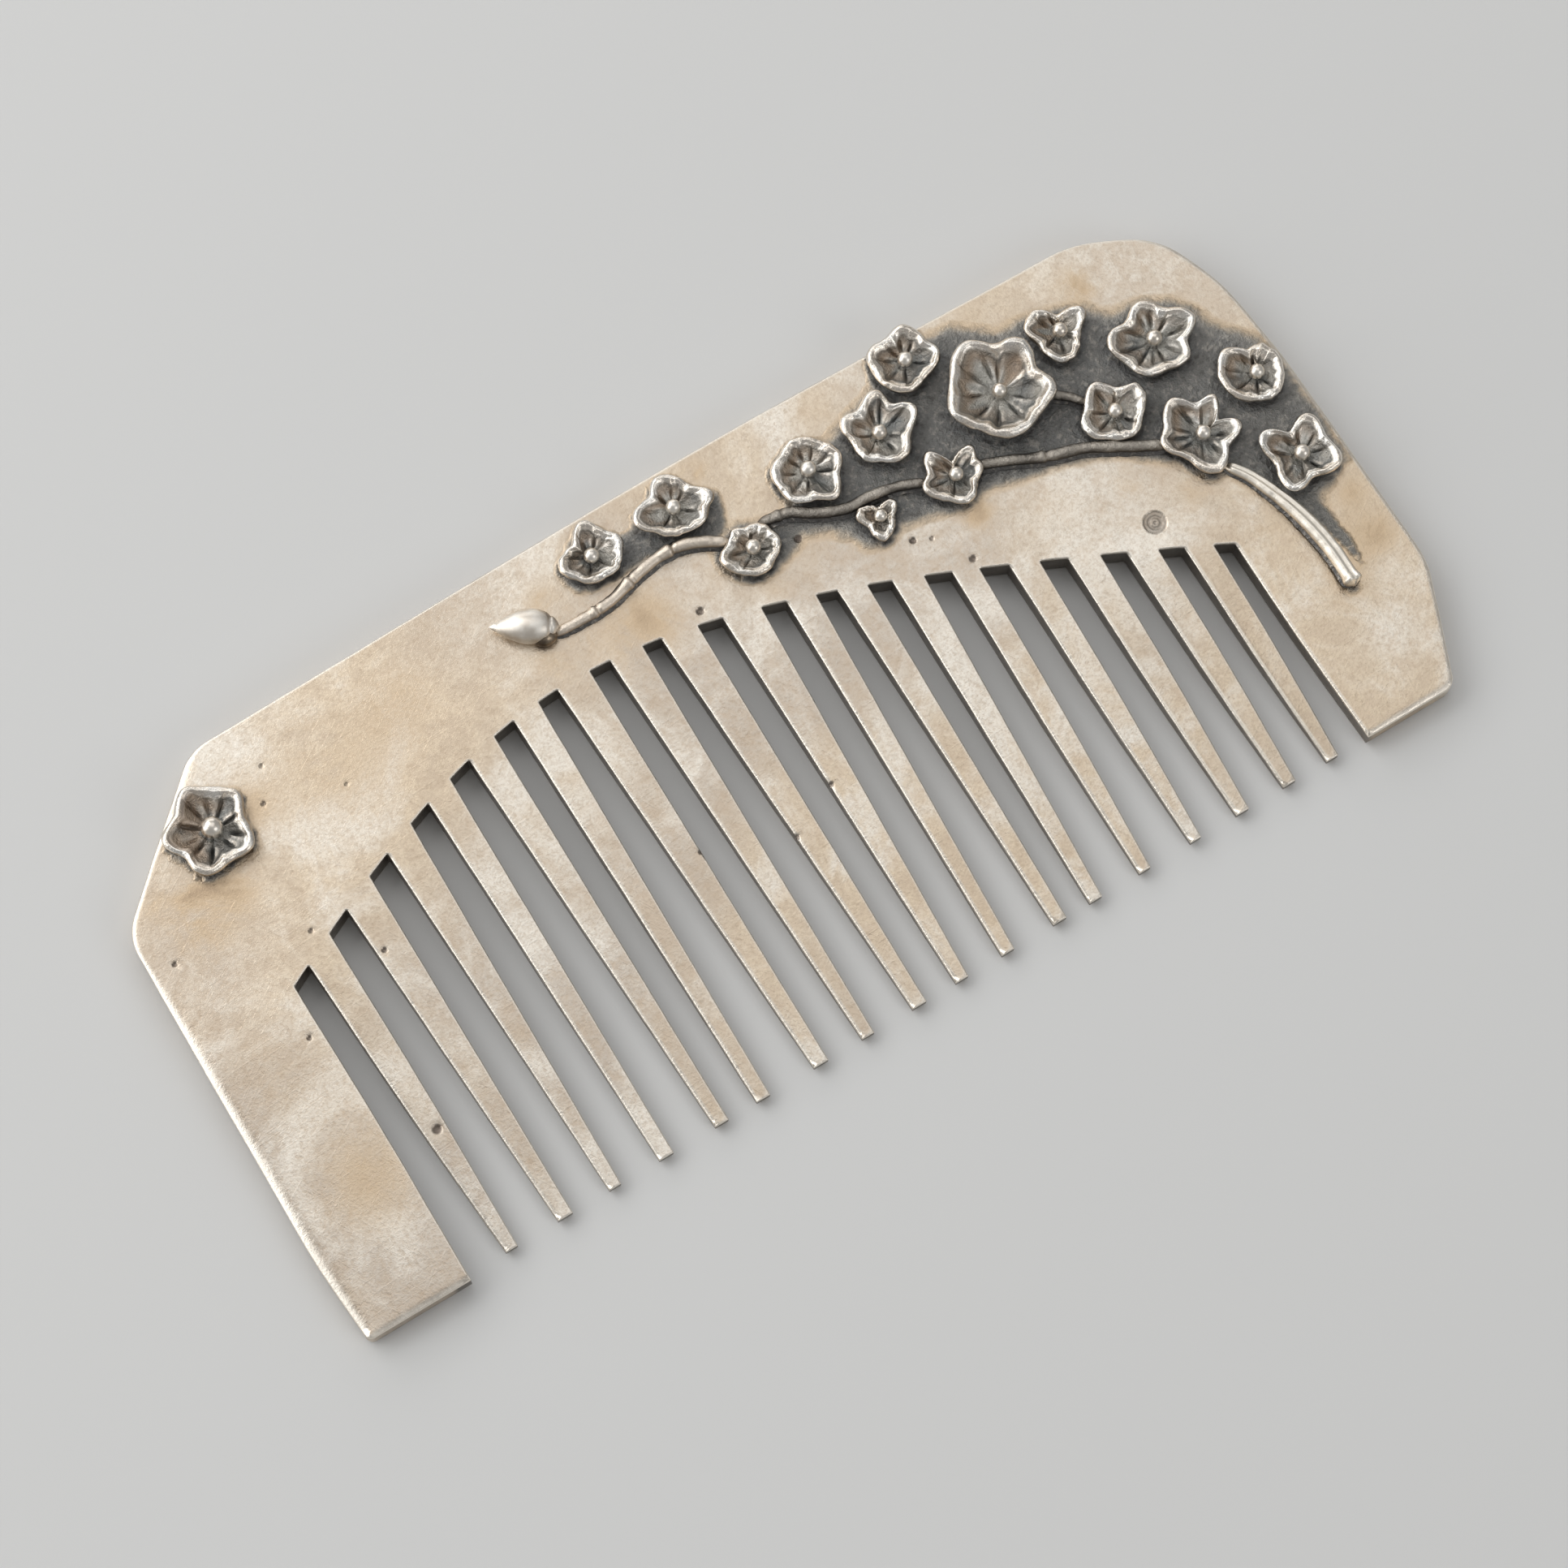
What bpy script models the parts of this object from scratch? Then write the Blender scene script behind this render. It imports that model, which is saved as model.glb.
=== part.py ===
"""Silver hair comb with an applied blossom branch, lying on its back.

Frame: metres, +Z up through the blossoms, +X along the spine towards the branch's foot,
+Y from the tooth tips to the spine. The origin is under the middle of the comb, on its back.

The comb is one thick sheet, sawn and filed into teeth. The stem, the branches, the twig, the bud,
the cupped blossoms and the bead in the heart of each blossom are made separately and soldered on.
"""

import math

import bmesh
import bpy
from mathutils import Vector

MM = 0.001
WELD = 0.001 * MM  # points nearer than this are one point

# Sheet
LENGTH = 98.0 * MM
TIP_Y = -22.4 * MM
SPINE_Y = 22.5 * MM
LEFT_CHEEK_Y = -23.0 * MM
RIGHT_CHEEK_Y = -22.6 * MM
SHEET = 2.6 * MM  # thickness of the body and the spine
CHEEK_END = 2.0 * MM  # thickness at the cheeks' lower ends
TOOTH_END = 0.9 * MM  # thickness at the tooth tips
CHEEK_TAPER_Y = 0.8 * MM  # where the cheeks begin to thin
EDGE_ROUND = 0.35 * MM

# The cuts' roots follow a blunt arch: a hyperbola with this peak, bluntness and flank slopes.
ARCH_X = -11.0 * MM
ARCH_Y = 11.8 * MM
ARCH_BLUNT = 14.0 * MM
LEFT_SLOPE = 0.65
RIGHT_SLOPE = 0.565

# Saw cuts in mm, left to right: the cut's left and right side at its root, and at the tips.
SAW_CUTS = [
    (-40.0, -38.4, -39.9, -36.75), (-35.8, -33.9, -35.7, -32.35), (-31.1, -29.2, -31.05, -28.0),
    (-26.5, -24.7, -26.95, -23.75), (-22.3, -20.45, -22.5, -19.0), (-17.85, -16.1, -17.8, -15.45),
    (-13.7, -12.1, -14.25, -10.55), (-9.2, -7.6, -9.25, -6.4), (-4.85, -3.45, -5.3, -2.05),
    (-0.5, 1.3, -0.8, 1.7), (4.3, 6.05, 2.85, 5.7), (8.3, 9.75, 6.85, 10.2),
    (12.0, 13.65, 11.4, 13.35), (16.0, 17.85, 14.5, 17.7), (19.85, 21.8, 18.75, 22.2),
    (24.0, 25.85, 23.2, 26.25), (28.15, 29.85, 27.4, 30.4), (32.1, 33.75, 31.55, 34.25),
    (35.85, 37.2, 35.3, 37.65),
]
TOOTH_BELLY = 0.12 * MM  # each side of a tooth swells this much halfway down

# The outside, against the clock from the right cheek's inner corner: x, y and corner radius.
RIGHT = LENGTH / 2
LEFT = -LENGTH / 2
OUTSIDE = [
    (45.4 * MM, RIGHT_CHEEK_Y, 1.2 * MM),
    (RIGHT, -13.4 * MM, 7.0 * MM),
    (RIGHT - 0.55 * MM, 6.0 * MM, 40.0 * MM),
    (RIGHT - 1.3 * MM, 13.2 * MM, 14.0 * MM),
    (RIGHT - 3.6 * MM, 19.0 * MM, 6.5 * MM),
    (RIGHT - 9.5 * MM, SPINE_Y - 0.65 * MM, 9.0 * MM),
    (5.0 * MM, SPINE_Y + 0.1 * MM, 160.0 * MM),
    (-37.9 * MM, SPINE_Y - 0.6 * MM, 4.0 * MM),
    (LEFT + 0.3 * MM, 12.0 * MM, 4.0 * MM),
    (LEFT, -16.0 * MM, 30.0 * MM),
    (LEFT + 0.5 * MM, LEFT_CHEEK_Y, 0.6 * MM),
]
ARC_STEP = math.radians(9)
CENTRING = Vector((0.02, 0.08, 0)) * MM  # puts the middle of the finished comb on the origin

# Applied pieces
GAP = 0.1 * MM  # the solder seam between two pieces
BEAD_RADIUS = 0.6 * MM
BLOSSOM_HEIGHT = 1.4 * MM
BLOSSOM_STEPS = 36
FOOT = 0.45  # radius of a blossom's foot, as a share of its reach
# A blossom's section: share of the reach, and share of the height, foot to rim to bowl.
CUP_SECTION = [
    (0.00, 0.00), (FOOT, 0.00), (0.78, 0.42), (1.00, 0.80), (0.99, 0.96),
    (0.88, 1.00), (0.68, 0.60), (0.32, 0.26), (0.00, 0.22),
]
RIM_WAVE = 0.12  # the rim dips between petals by this share of the height

# Blossoms in mm: heart x and y, height factor, bead factor, then the outline against the clock as
# (direction in degrees, reach), petal tips and the notches between them in turn.
BLOSSOMS = [
    (-39.3, 15.5, 1.15, 1.4, [
        (26, 3.5), (63, 3.3), (99, 3.8), (132, 3.15), (164, 3.9), (200, 3.1), (227, 3.75),
        (270, 3.0), (308, 3.4), (353, 2.65)]),
    (-4.7, 19.1, 1.05, 1.0, [
        (0, 2.75), (35, 2.3), (76, 2.85), (118, 1.9), (174, 2.75), (208, 2.3), (241, 2.25),
        (270, 2.1), (299, 2.4), (330, 2.4)]),
    (2.5, 19.2, 1.05, 1.0, [
        (351, 3.3), (22, 2.25), (86, 2.8), (125, 2.2), (173, 3.35), (205, 2.6), (237, 2.4),
        (268, 2.35), (303, 2.75), (328, 2.8)]),
    (6.0, 13.4, 0.95, 1.0, [
        (49, 2.1), (80, 1.8), (108, 2.2), (140, 2.1), (170, 2.8), (215, 2.4), (260, 2.3),
        (300, 2.0), (338, 2.2), (12, 2.1)]),
    (12.7, 16.5, 1.0, 1.05, [
        (354, 2.85), (40, 2.6), (87, 2.75), (120, 2.55), (150, 2.95), (183, 2.8), (217, 3.0),
        (250, 2.6), (283, 3.2), (320, 2.55)]),
    (18.8, 16.2, 1.05, 1.0, [
        (6, 3.5), (37, 2.7), (68, 3.45), (100, 2.6), (133, 3.2), (170, 2.4), (207, 2.6),
        (247, 2.5), (287, 2.95), (327, 2.5)]),
    (23.5, 20.15, 1.05, 1.0, [
        (340, 2.8), (15, 2.35), (63, 2.9), (102, 2.4), (140, 3.0), (172, 2.8), (208, 2.85),
        (245, 2.8), (282, 2.3), (310, 2.45)]),
    (28.25, 14.25, 1.5, 1.0, [
        (34, 4.5), (66, 3.75), (95, 4.7), (143, 3.95), (174, 4.4), (213, 3.75), (251, 4.05),
        (297, 3.75), (333, 4.4), (1, 3.5)]),
    (22.0, 10.4, 0.95, 0.95, [
        (36, 2.6), (75, 1.2), (112, 2.9), (147, 2.3), (175, 2.85), (220, 2.3), (265, 2.5),
        (310, 1.8), (350, 2.25), (12, 2.2)]),
    (15.45, 10.6, 0.7, 0.85, [
        (18, 1.8), (55, 1.15), (85, 1.1), (145, 1.95), (190, 1.35), (243, 2.0), (290, 1.45),
        (335, 1.2)]),
    (34.75, 16.05, 0.9, 1.0, [
        (16, 2.7), (65, 1.5), (113, 2.7), (150, 2.75), (182, 2.2), (217, 2.45), (242, 2.6),
        (275, 2.35), (310, 1.75), (338, 1.8)]),
    (40.5, 11.8, 1.0, 1.05, [
        (2, 3.7), (40, 2.75), (80, 3.25), (118, 2.7), (153, 3.8), (190, 3.15), (224, 3.25),
        (262, 2.8), (299, 3.2), (328, 2.7)]),
    (34.9, 8.45, 0.95, 0.95, [
        (17, 2.9), (55, 2.0), (97, 2.9), (140, 2.5), (180, 3.0), (232, 2.45), (283, 2.5),
        (322, 2.3)]),
    (39.6, 3.5, 1.05, 1.0, [
        (41, 3.2), (74, 2.6), (103, 3.75), (141, 3.15), (166, 3.4), (205, 2.55), (258, 3.45),
        (302, 2.35), (345, 3.1), (13, 1.8)]),
    (45.7, 5.5, 1.0, 1.0, [
        (13, 2.3), (32, 2.3), (51, 2.45), (80, 2.1), (116, 3.15), (152, 3.1), (192, 2.8),
        (235, 2.45), (277, 2.45), (325, 2.15)]),
    (45.1, -1.7, 1.05, 1.05, [
        (2, 2.35), (50, 3.25), (90, 2.1), (124, 3.6), (170, 2.4), (226, 3.3), (264, 2.2),
        (317, 3.1)]),
]

# Wires in mm, from their thick end: x, y and radius along each.
WIRES = {
    "stem": [
        (42.95, -12.3, 0.74), (43.0, -11.4, 0.64), (43.0, -9.5, 0.64), (42.8, -7.5, 0.65),
        (42.3, -5.0, 0.60), (41.55, -2.7, 0.52), (40.9, -1.1, 0.46), (40.25, -0.05, 0.42),
    ],
    "branch_middle": [
        (36.0, 4.75, 0.46), (34.7, 5.45, 0.46), (33.1, 6.4, 0.46), (31.4, 7.3, 0.45),
        (29.5, 7.9, 0.45), (27.9, 8.5, 0.44), (26.2, 9.35, 0.42), (24.75, 9.95, 0.42),
    ],
    "branch_lower": [
        (18.95, 11.55, 0.40), (17.6, 12.05, 0.42), (15.6, 12.4, 0.44), (13.9, 12.45, 0.44),
        (12.3, 13.0, 0.45), (11.0, 13.7, 0.44), (9.9, 14.45, 0.44), (8.5, 14.75, 0.42),
    ],
    "branch_tip": [
        (4.15, 15.2, 0.45), (3.3, 15.75, 0.45), (2.1, 16.3, 0.46), (0.9, 16.55, 0.46),
        (-0.6, 16.55, 0.44), (-2.3, 16.25, 0.44), (-3.6, 15.9, 0.44), (-5.0, 15.5, 0.42),
        (-6.9, 15.35, 0.42), (-9.15, 15.4, 0.38),
    ],
    "twig": [(32.15, 11.75, 0.38), (32.7, 11.3, 0.38), (33.0, 10.95, 0.36)],
}
WIRE_SMOOTHING = 3  # points read from the smooth curve for each stretch between two of the above

# Bud
BUD_TIP = Vector((-14.1, 18.4, 0)) * MM
BUD_BASE = Vector((-9.5, 15.75, 0)) * MM
BUD_RADIUS = 1.35 * MM
BUD_HEIGHT = 1.9 * MM
BUD_RINGS = 10
BUD_SIDES = 16
FLAT = 0.6  # an almond is cut off flat this share of its radius below its middle
SEPAL_CENTRE = Vector((-11.43, 14.96, 0)) * MM
SEPAL_LENGTH = 2.3 * MM
SEPAL_WIDTH = 0.7 * MM
SEPAL_HEIGHT = 0.8 * MM

SILVER = (0.79, 0.74, 0.66, 1.0)
POLISHED = (0.90, 0.87, 0.82, 1.0)
DARKENED = (0.42, 0.42, 0.41, 1.0)


def clear_scene():
    for thing in list(bpy.data.objects):
        bpy.data.objects.remove(thing)


def new_collection(name):
    collection = bpy.data.collections.new(name)
    bpy.context.scene.collection.children.link(collection)
    return collection


def material(name, colour, roughness):
    made = bpy.data.materials.new(name)
    made.use_nodes = True
    shader = made.node_tree.nodes["Principled BSDF"]
    shader.inputs["Base Color"].default_value = colour
    shader.inputs["Metallic"].default_value = 1.0
    shader.inputs["Roughness"].default_value = roughness
    made.diffuse_color = colour
    return made


def add_object(name, data, collection, parent, look):
    thing = bpy.data.objects.new(name, data)
    collection.objects.link(thing)
    thing.parent = parent
    data.materials.append(look)
    return thing


def mesh_from(name, shape, smooth_angle=None):
    """A mesh from a bmesh with its faces turned outwards; smooth shading breaks at the angle."""
    bmesh.ops.recalc_face_normals(shape, faces=shape.faces)
    mesh = bpy.data.meshes.new(name)
    shape.to_mesh(mesh)
    shape.free()
    if smooth_angle is not None:
        mesh.shade_smooth()
        mesh.set_sharp_from_angle(angle=smooth_angle)
    return mesh


def rounded_corner(before, corner, after, radius):
    """Points of the arc that rounds a corner of an outline."""
    to_before = (before - corner).normalized()
    to_after = (after - corner).normalized()
    half = to_before.angle(to_after) / 2
    centre = corner + (to_before + to_after).normalized() * (radius / math.sin(half))
    start = corner + to_before * (radius / math.tan(half)) - centre
    turn = math.pi - 2 * half
    steps = max(2, round(turn / ARC_STEP))
    side = 1 if to_after.cross(to_before) > 0 else -1
    points = []
    for step in range(steps + 1):
        angle = side * turn * step / steps
        across = Vector((-start.y, start.x))
        points.append(centre + start * math.cos(angle) + across * math.sin(angle))
    return points


def root_y(x):
    """Height of the arch that the saw cuts end on."""
    slope = LEFT_SLOPE if x < ARCH_X else RIGHT_SLOPE
    return ARCH_Y + ARCH_BLUNT - math.hypot(ARCH_BLUNT, slope * (x - ARCH_X))


def cut_sides(cut, left_end, right_end):
    """One saw cut's outline, from its lower left over the root to its lower right."""
    root_left, root_right, tip_left, tip_right = (value * MM for value in cut)
    left_tip, right_tip = Vector((tip_left, left_end)), Vector((tip_right, right_end))
    left_root = Vector((root_left, root_y(root_left)))
    right_root = Vector((root_right, root_y(root_right)))
    left_belly = (left_tip + left_root) / 2 + Vector((TOOTH_BELLY, 0))
    right_belly = (right_tip + right_root) / 2 - Vector((TOOTH_BELLY, 0))
    return [left_tip, left_belly, left_root, right_root, right_belly, right_tip]


def sheet_outline():
    """The comb's outline against the clock, from the left cheek's inner corner over the teeth."""
    points = []
    last = len(SAW_CUTS) - 1
    for index, cut in enumerate(SAW_CUTS):
        left_end = LEFT_CHEEK_Y if index == 0 else TIP_Y
        right_end = RIGHT_CHEEK_Y if index == last else TIP_Y
        points += cut_sides(cut, left_end, right_end)
    corners = [Vector((x, y)) for x, y, _ in OUTSIDE]
    chain = [points[-1], *corners, points[0]]
    for index, (_, _, radius) in enumerate(OUTSIDE):
        points += rounded_corner(*chain[index:index + 3], radius)
    return points


def sheet_thickness(x, y):
    """Full thickness over the body; cheeks and teeth are filed thinner towards their ends."""
    first, last = (sum(SAW_CUTS[index][:2]) / 2 * MM for index in (0, -1))
    on_tooth = first < x < last
    top = root_y(x) if on_tooth else CHEEK_TAPER_Y
    end = TOOTH_END if on_tooth else CHEEK_END
    down = min(max((top - y) / (top - TIP_Y), 0.0), 1.0)
    return SHEET + (end - SHEET) * down


def flat_sheet():
    """The sawn sheet before it is filed: its outline, filled and extruded to its full thickness."""
    outline = bpy.data.curves.new("sheet_outline", "CURVE")
    outline.dimensions = "2D"
    outline.fill_mode = "BOTH"
    outline.extrude = SHEET / 2
    spline = outline.splines.new("POLY")
    points = sheet_outline()
    spline.points.add(len(points) - 1)
    for point, place in zip(spline.points, points):
        point.co = (place.x, place.y, 0, 1)
    spline.use_cyclic_u = True
    guide = bpy.data.objects.new("sheet_outline", outline)
    bpy.context.scene.collection.objects.link(guide)
    graph = bpy.context.evaluated_depsgraph_get()
    mesh = bpy.data.meshes.new_from_object(guide.evaluated_get(graph))
    bpy.data.objects.remove(guide)
    shape = bmesh.new()
    shape.from_mesh(mesh)
    bpy.data.meshes.remove(mesh)
    bmesh.ops.remove_doubles(shape, verts=shape.verts, dist=WELD)
    bmesh.ops.dissolve_limit(shape, angle_limit=math.radians(1), verts=shape.verts, edges=shape.edges)
    return shape


def fold_lines(shape):
    """Edges that the taper folds along: across the cheeks, and across each tooth at its root."""
    everything = shape.verts[:] + shape.edges[:] + shape.faces[:]
    bmesh.ops.bisect_plane(
        shape, geom=everything, plane_co=(0, CHEEK_TAPER_Y, 0), plane_no=(0, 1, 0)
    )
    for cut, after in zip(SAW_CUTS, SAW_CUTS[1:]):
        ends = []
        for x in (cut[1] * MM, after[0] * MM):
            corner = Vector((x, root_y(x), SHEET / 2))
            ends.append(min(shape.verts, key=lambda vert: (vert.co - corner).length))
        bmesh.ops.connect_vert_pair(shape, verts=ends)


def sheet_mesh():
    shape = flat_sheet()
    fold_lines(shape)
    rims = [
        edge for edge in shape.edges
        if edge.calc_face_angle(0) > math.radians(45) and edge.verts[0].co.z * edge.verts[1].co.z > 0
    ]
    bmesh.ops.bevel(
        shape, geom=rims, offset=EDGE_ROUND, segments=2, profile=0.5,
        affect="EDGES", clamp_overlap=False,
    )
    for vert in shape.verts:
        front = vert.co.z > 0
        vert.co.z += SHEET / 2
        if front:
            vert.co.z -= SHEET - sheet_thickness(vert.co.x, vert.co.y)
    return mesh_from("comb_plate", shape, math.radians(40))


def turned(section, steps):
    """A closed solid turned about Z from (radius, height) points that start and end on the axis."""
    shape = bmesh.new()
    verts = [shape.verts.new((radius, 0, height)) for radius, height in section]
    edges = [shape.edges.new(pair) for pair in zip(verts, verts[1:])]
    bmesh.ops.spin(
        shape, geom=verts + edges, cent=(0, 0, 0), axis=(0, 0, 1),
        angle=math.tau, steps=steps, use_duplicate=False,
    )
    bmesh.ops.remove_doubles(shape, verts=shape.verts, dist=WELD)
    return shape


def smooth_between(before, start, end, after, share):
    """A value on the smooth curve through start and end, by the values on either side."""
    slope_start = (end - before) / 2
    slope_end = (after - start) / 2
    square, cube = share * share, share ** 3
    return (
        (2 * cube - 3 * square + 1) * start + (cube - 2 * square + share) * slope_start
        + (3 * square - 2 * cube) * end + (cube - square) * slope_end
    )


def reach_at(outline, degrees):
    """A blossom's reach in a direction, smooth through its petal tips and notches."""
    ordered = sorted(outline)
    count = len(ordered)
    directions = [direction for direction, _ in ordered]
    last = max((i for i in range(count) if directions[i] <= degrees), default=-1)
    span = (directions[(last + 1) % count] - directions[last]) % 360
    share = ((degrees - directions[last]) % 360) / span
    reaches = [ordered[(last + step) % count][1] for step in (-1, 0, 1, 2)]
    return smooth_between(*reaches, share)


def blossom_mesh(name, outline, height):
    """A cupped blossom: a turned cup whose every ring is drawn out to the petals' outline."""
    shape = turned(CUP_SECTION, BLOSSOM_STEPS)
    mean = sum(reach for _, reach in outline) / len(outline)
    for vert in shape.verts:
        share = math.hypot(vert.co.x, vert.co.y)
        if share < 0.01:
            vert.co.z *= height
            continue
        direction = math.atan2(vert.co.y, vert.co.x)
        reach = reach_at(outline, math.degrees(direction) % 360)
        petal = min(max((share - FOOT) / (1 - FOOT), 0.0), 1.0)
        drawn = (mean * (1 - petal) + reach * petal) * share * MM
        lift = 1 + RIM_WAVE * petal * (reach - mean) / (0.25 * mean)
        vert.co = (drawn * math.cos(direction), drawn * math.sin(direction), vert.co.z * height * lift)
    return mesh_from(name, shape, math.radians(60))


def bead_mesh(name, radius):
    shape = bmesh.new()
    bmesh.ops.create_uvsphere(shape, u_segments=12, v_segments=7, radius=radius)
    return mesh_from(name, shape, math.radians(80))


def wire_curve(name, route):
    """A wire resting on the sheet, its radius changing along the way."""
    stops = [Vector((x * MM, y * MM, SHEET + GAP + r * MM, r * MM)) for x, y, r in route]
    padded = [stops[0], *stops, stops[-1]]
    places = [stops[0]]
    for index in range(len(stops) - 1):
        for step in range(1, WIRE_SMOOTHING + 1):
            places.append(smooth_between(*padded[index:index + 4], step / WIRE_SMOOTHING))
    curve = bpy.data.curves.new(name, "CURVE")
    curve.dimensions = "3D"
    curve.bevel_depth = 1.0
    curve.bevel_resolution = 2
    curve.use_fill_caps = True
    spline = curve.splines.new("POLY")
    spline.points.add(len(places) - 1)
    for point, place in zip(spline.points, places):
        point.co = (place.x, place.y, place.z, 1)
        point.radius = place.w
    return curve


def almond_mesh(name, length, width, height, point):
    """An almond lying along X with a flat underside, by its half width; point sharpens its +X end."""
    section = [(0.0, -0.5)]
    for ring in range(1, BUD_RINGS):
        along = ring / BUD_RINGS
        swell = math.sin(math.pi * along) ** 0.75 * (1 - along) ** point
        section.append((swell, along - 0.5))
    section.append((0.0, 0.5))
    fullest = max(radius for radius, _ in section)
    shape = turned([(radius / fullest, along) for radius, along in section], BUD_SIDES)
    for vert in shape.verts:
        across, up, along = vert.co
        lift = (max(up, -FLAT) + FLAT) / (1 + FLAT)
        vert.co = (along * length, across * width, lift * height)
    bmesh.ops.remove_doubles(shape, verts=shape.verts, dist=WELD)
    return mesh_from(name, shape, math.radians(60))


def build_blossoms(collection, parent, cup_look, bead_look):
    for number, (x, y, height_factor, bead_factor, outline) in enumerate(BLOSSOMS, 1):
        height = BLOSSOM_HEIGHT * height_factor
        name = f"blossom_{number:02d}"
        cup = add_object(name, blossom_mesh(name, outline, height), collection, parent, cup_look)
        cup.location = (x * MM, y * MM, SHEET + GAP)
        radius = BEAD_RADIUS * bead_factor
        name = f"heart_bead_{number:02d}"
        bead = add_object(name, bead_mesh(name, radius), collection, parent, bead_look)
        floor = CUP_SECTION[-2][1] * height
        bead.location = (x * MM, y * MM, SHEET + GAP + floor + GAP + radius)


def build_bud(collection, parent, look):
    axis = BUD_TIP - BUD_BASE
    bud_shape = almond_mesh("bud", axis.length, BUD_RADIUS, BUD_HEIGHT, 0.35)
    bud = add_object("bud", bud_shape, collection, parent, look)
    bud.location = (BUD_TIP + BUD_BASE) / 2 + Vector((0, 0, SHEET + GAP))
    bud.rotation_euler.z = math.atan2(axis.y, axis.x)
    sepal_shape = almond_mesh("bud_sepal", SEPAL_LENGTH, SEPAL_WIDTH / 2, SEPAL_HEIGHT, 0.2)
    sepal = add_object("bud_sepal", sepal_shape, collection, parent, look)
    sepal.location = SEPAL_CENTRE + Vector((0, 0, SHEET + GAP))
    sepal.rotation_euler.z = bud.rotation_euler.z


def main():
    clear_scene()
    collection = new_collection("hair_comb")
    parent = bpy.data.objects.new("comb_frame", None)
    parent.location = CENTRING
    collection.objects.link(parent)
    plate_look = material("sheet_silver", SILVER, 0.35)
    branch_look = material("branch_silver", DARKENED, 0.4)
    cup_look = material("blossom_silver", SILVER, 0.35)
    polished_look = material("polished_silver", POLISHED, 0.2)

    add_object("comb_plate", sheet_mesh(), collection, parent, plate_look)
    for name, route in WIRES.items():
        add_object(name, wire_curve(name, route), collection, parent, branch_look)
    build_blossoms(collection, parent, cup_look, polished_look)
    build_bud(collection, parent, polished_look)


main()
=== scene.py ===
import math
import random

import bmesh
import bpy
import numpy as np
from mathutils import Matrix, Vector, noise
from mathutils.bvhtree import BVHTree
from mathutils.geometry import delaunay_2d_cdt
from mathutils.kdtree import KDTree


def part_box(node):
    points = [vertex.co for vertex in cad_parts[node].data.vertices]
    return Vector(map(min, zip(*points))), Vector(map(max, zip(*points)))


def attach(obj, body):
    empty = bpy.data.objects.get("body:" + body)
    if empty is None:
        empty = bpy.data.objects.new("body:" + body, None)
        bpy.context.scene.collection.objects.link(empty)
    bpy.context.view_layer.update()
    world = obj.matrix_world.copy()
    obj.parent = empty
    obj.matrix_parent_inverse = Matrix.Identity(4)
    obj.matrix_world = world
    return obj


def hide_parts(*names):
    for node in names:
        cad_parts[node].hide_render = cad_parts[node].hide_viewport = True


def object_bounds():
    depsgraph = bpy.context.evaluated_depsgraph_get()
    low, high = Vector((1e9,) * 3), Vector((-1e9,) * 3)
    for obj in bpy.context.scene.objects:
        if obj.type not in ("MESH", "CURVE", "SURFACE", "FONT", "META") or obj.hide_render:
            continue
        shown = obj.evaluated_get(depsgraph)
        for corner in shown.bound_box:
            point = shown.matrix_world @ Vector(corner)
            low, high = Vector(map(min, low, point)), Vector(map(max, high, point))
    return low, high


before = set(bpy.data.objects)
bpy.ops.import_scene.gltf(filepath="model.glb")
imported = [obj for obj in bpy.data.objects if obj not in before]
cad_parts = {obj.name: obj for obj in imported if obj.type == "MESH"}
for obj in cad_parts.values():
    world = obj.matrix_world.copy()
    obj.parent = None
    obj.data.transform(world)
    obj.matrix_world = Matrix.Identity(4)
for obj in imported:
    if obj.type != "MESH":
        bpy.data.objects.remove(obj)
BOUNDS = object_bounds()

MM = 0.001  # lengths below are in millimetres, and points are brought to metres when a mesh is made
SHEET_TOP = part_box("comb_plate")[1].z / MM
SEAM = 0.1  # the CAD leaves this much between pieces that are soldered together
SINK = 0.02  # wires and solder reach this far into the sheet, and rims stay this far below the CAD's

# Plate
CORNER_TURN = math.radians(40)  # a turn sharper than this is a corner
CORNER_TRIM = 0.1  # corners are rounded over this much of each side
OUTLINE_STEP = 0.5
GRID = 0.5  # spacing of the front's points
BACK_GRID = 2.5
RING_DEPTHS = (0.01, 0.04, 0.08, 0.13)
EDGE_RADIUS = 0.12
FROM_LEFT = np.array([0.854, -0.52])  # the way in from edges that face the cheek's outer corner
LEFT_BEVEL = 0.35  # width of the soft bevel on those edges
CHEEK_BEVEL = 1.2  # and along the left cheek's outer side
FOOT_BEVEL = 0.45  # along the lower ends of both cheeks
RIGHT_BEVEL = 0.3
BEVEL_DROP = 0.27  # how far a bevel falls, as a share of its width
BACK_EDGE_RADIUS = 0.2
SPARE = 0.014  # the front stays this far below the CAD's, so that its unevenness stays inside

# Small pits left by casting and soldering: x, y, radius, depth.
PITS = [
    (0.2, 11.55, 0.3, 0.12), (9.4, 12.6, 0.3, 0.12), (16.7, 8, 0.26, 0.12), (18, 7.4, 0.18, 0.06),
    (19.8, 4.45, 0.28, 0.1), (-33.8, 18.2, 0.18, 0.06), (-35.1, 15.6, 0.2, 0.08),
    (-29.1, 13.7, 0.16, 0.06), (-46.7, 8.4, 0.2, 0.1), (-36.9, 5.4, 0.2, 0.08),
    (-33, 1.4, 0.22, 0.1), (-41, -1.5, 0.2, 0.1), (-9.2, -4.2, 0.24, 0.1), (-2.6, -6.9, 0.24, 0.1),
    (1.7, -4.8, 0.22, 0.1), (9.1, -4, 0.16, 0.06), (-36.4, -12, 0.36, 0.12),
]
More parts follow.
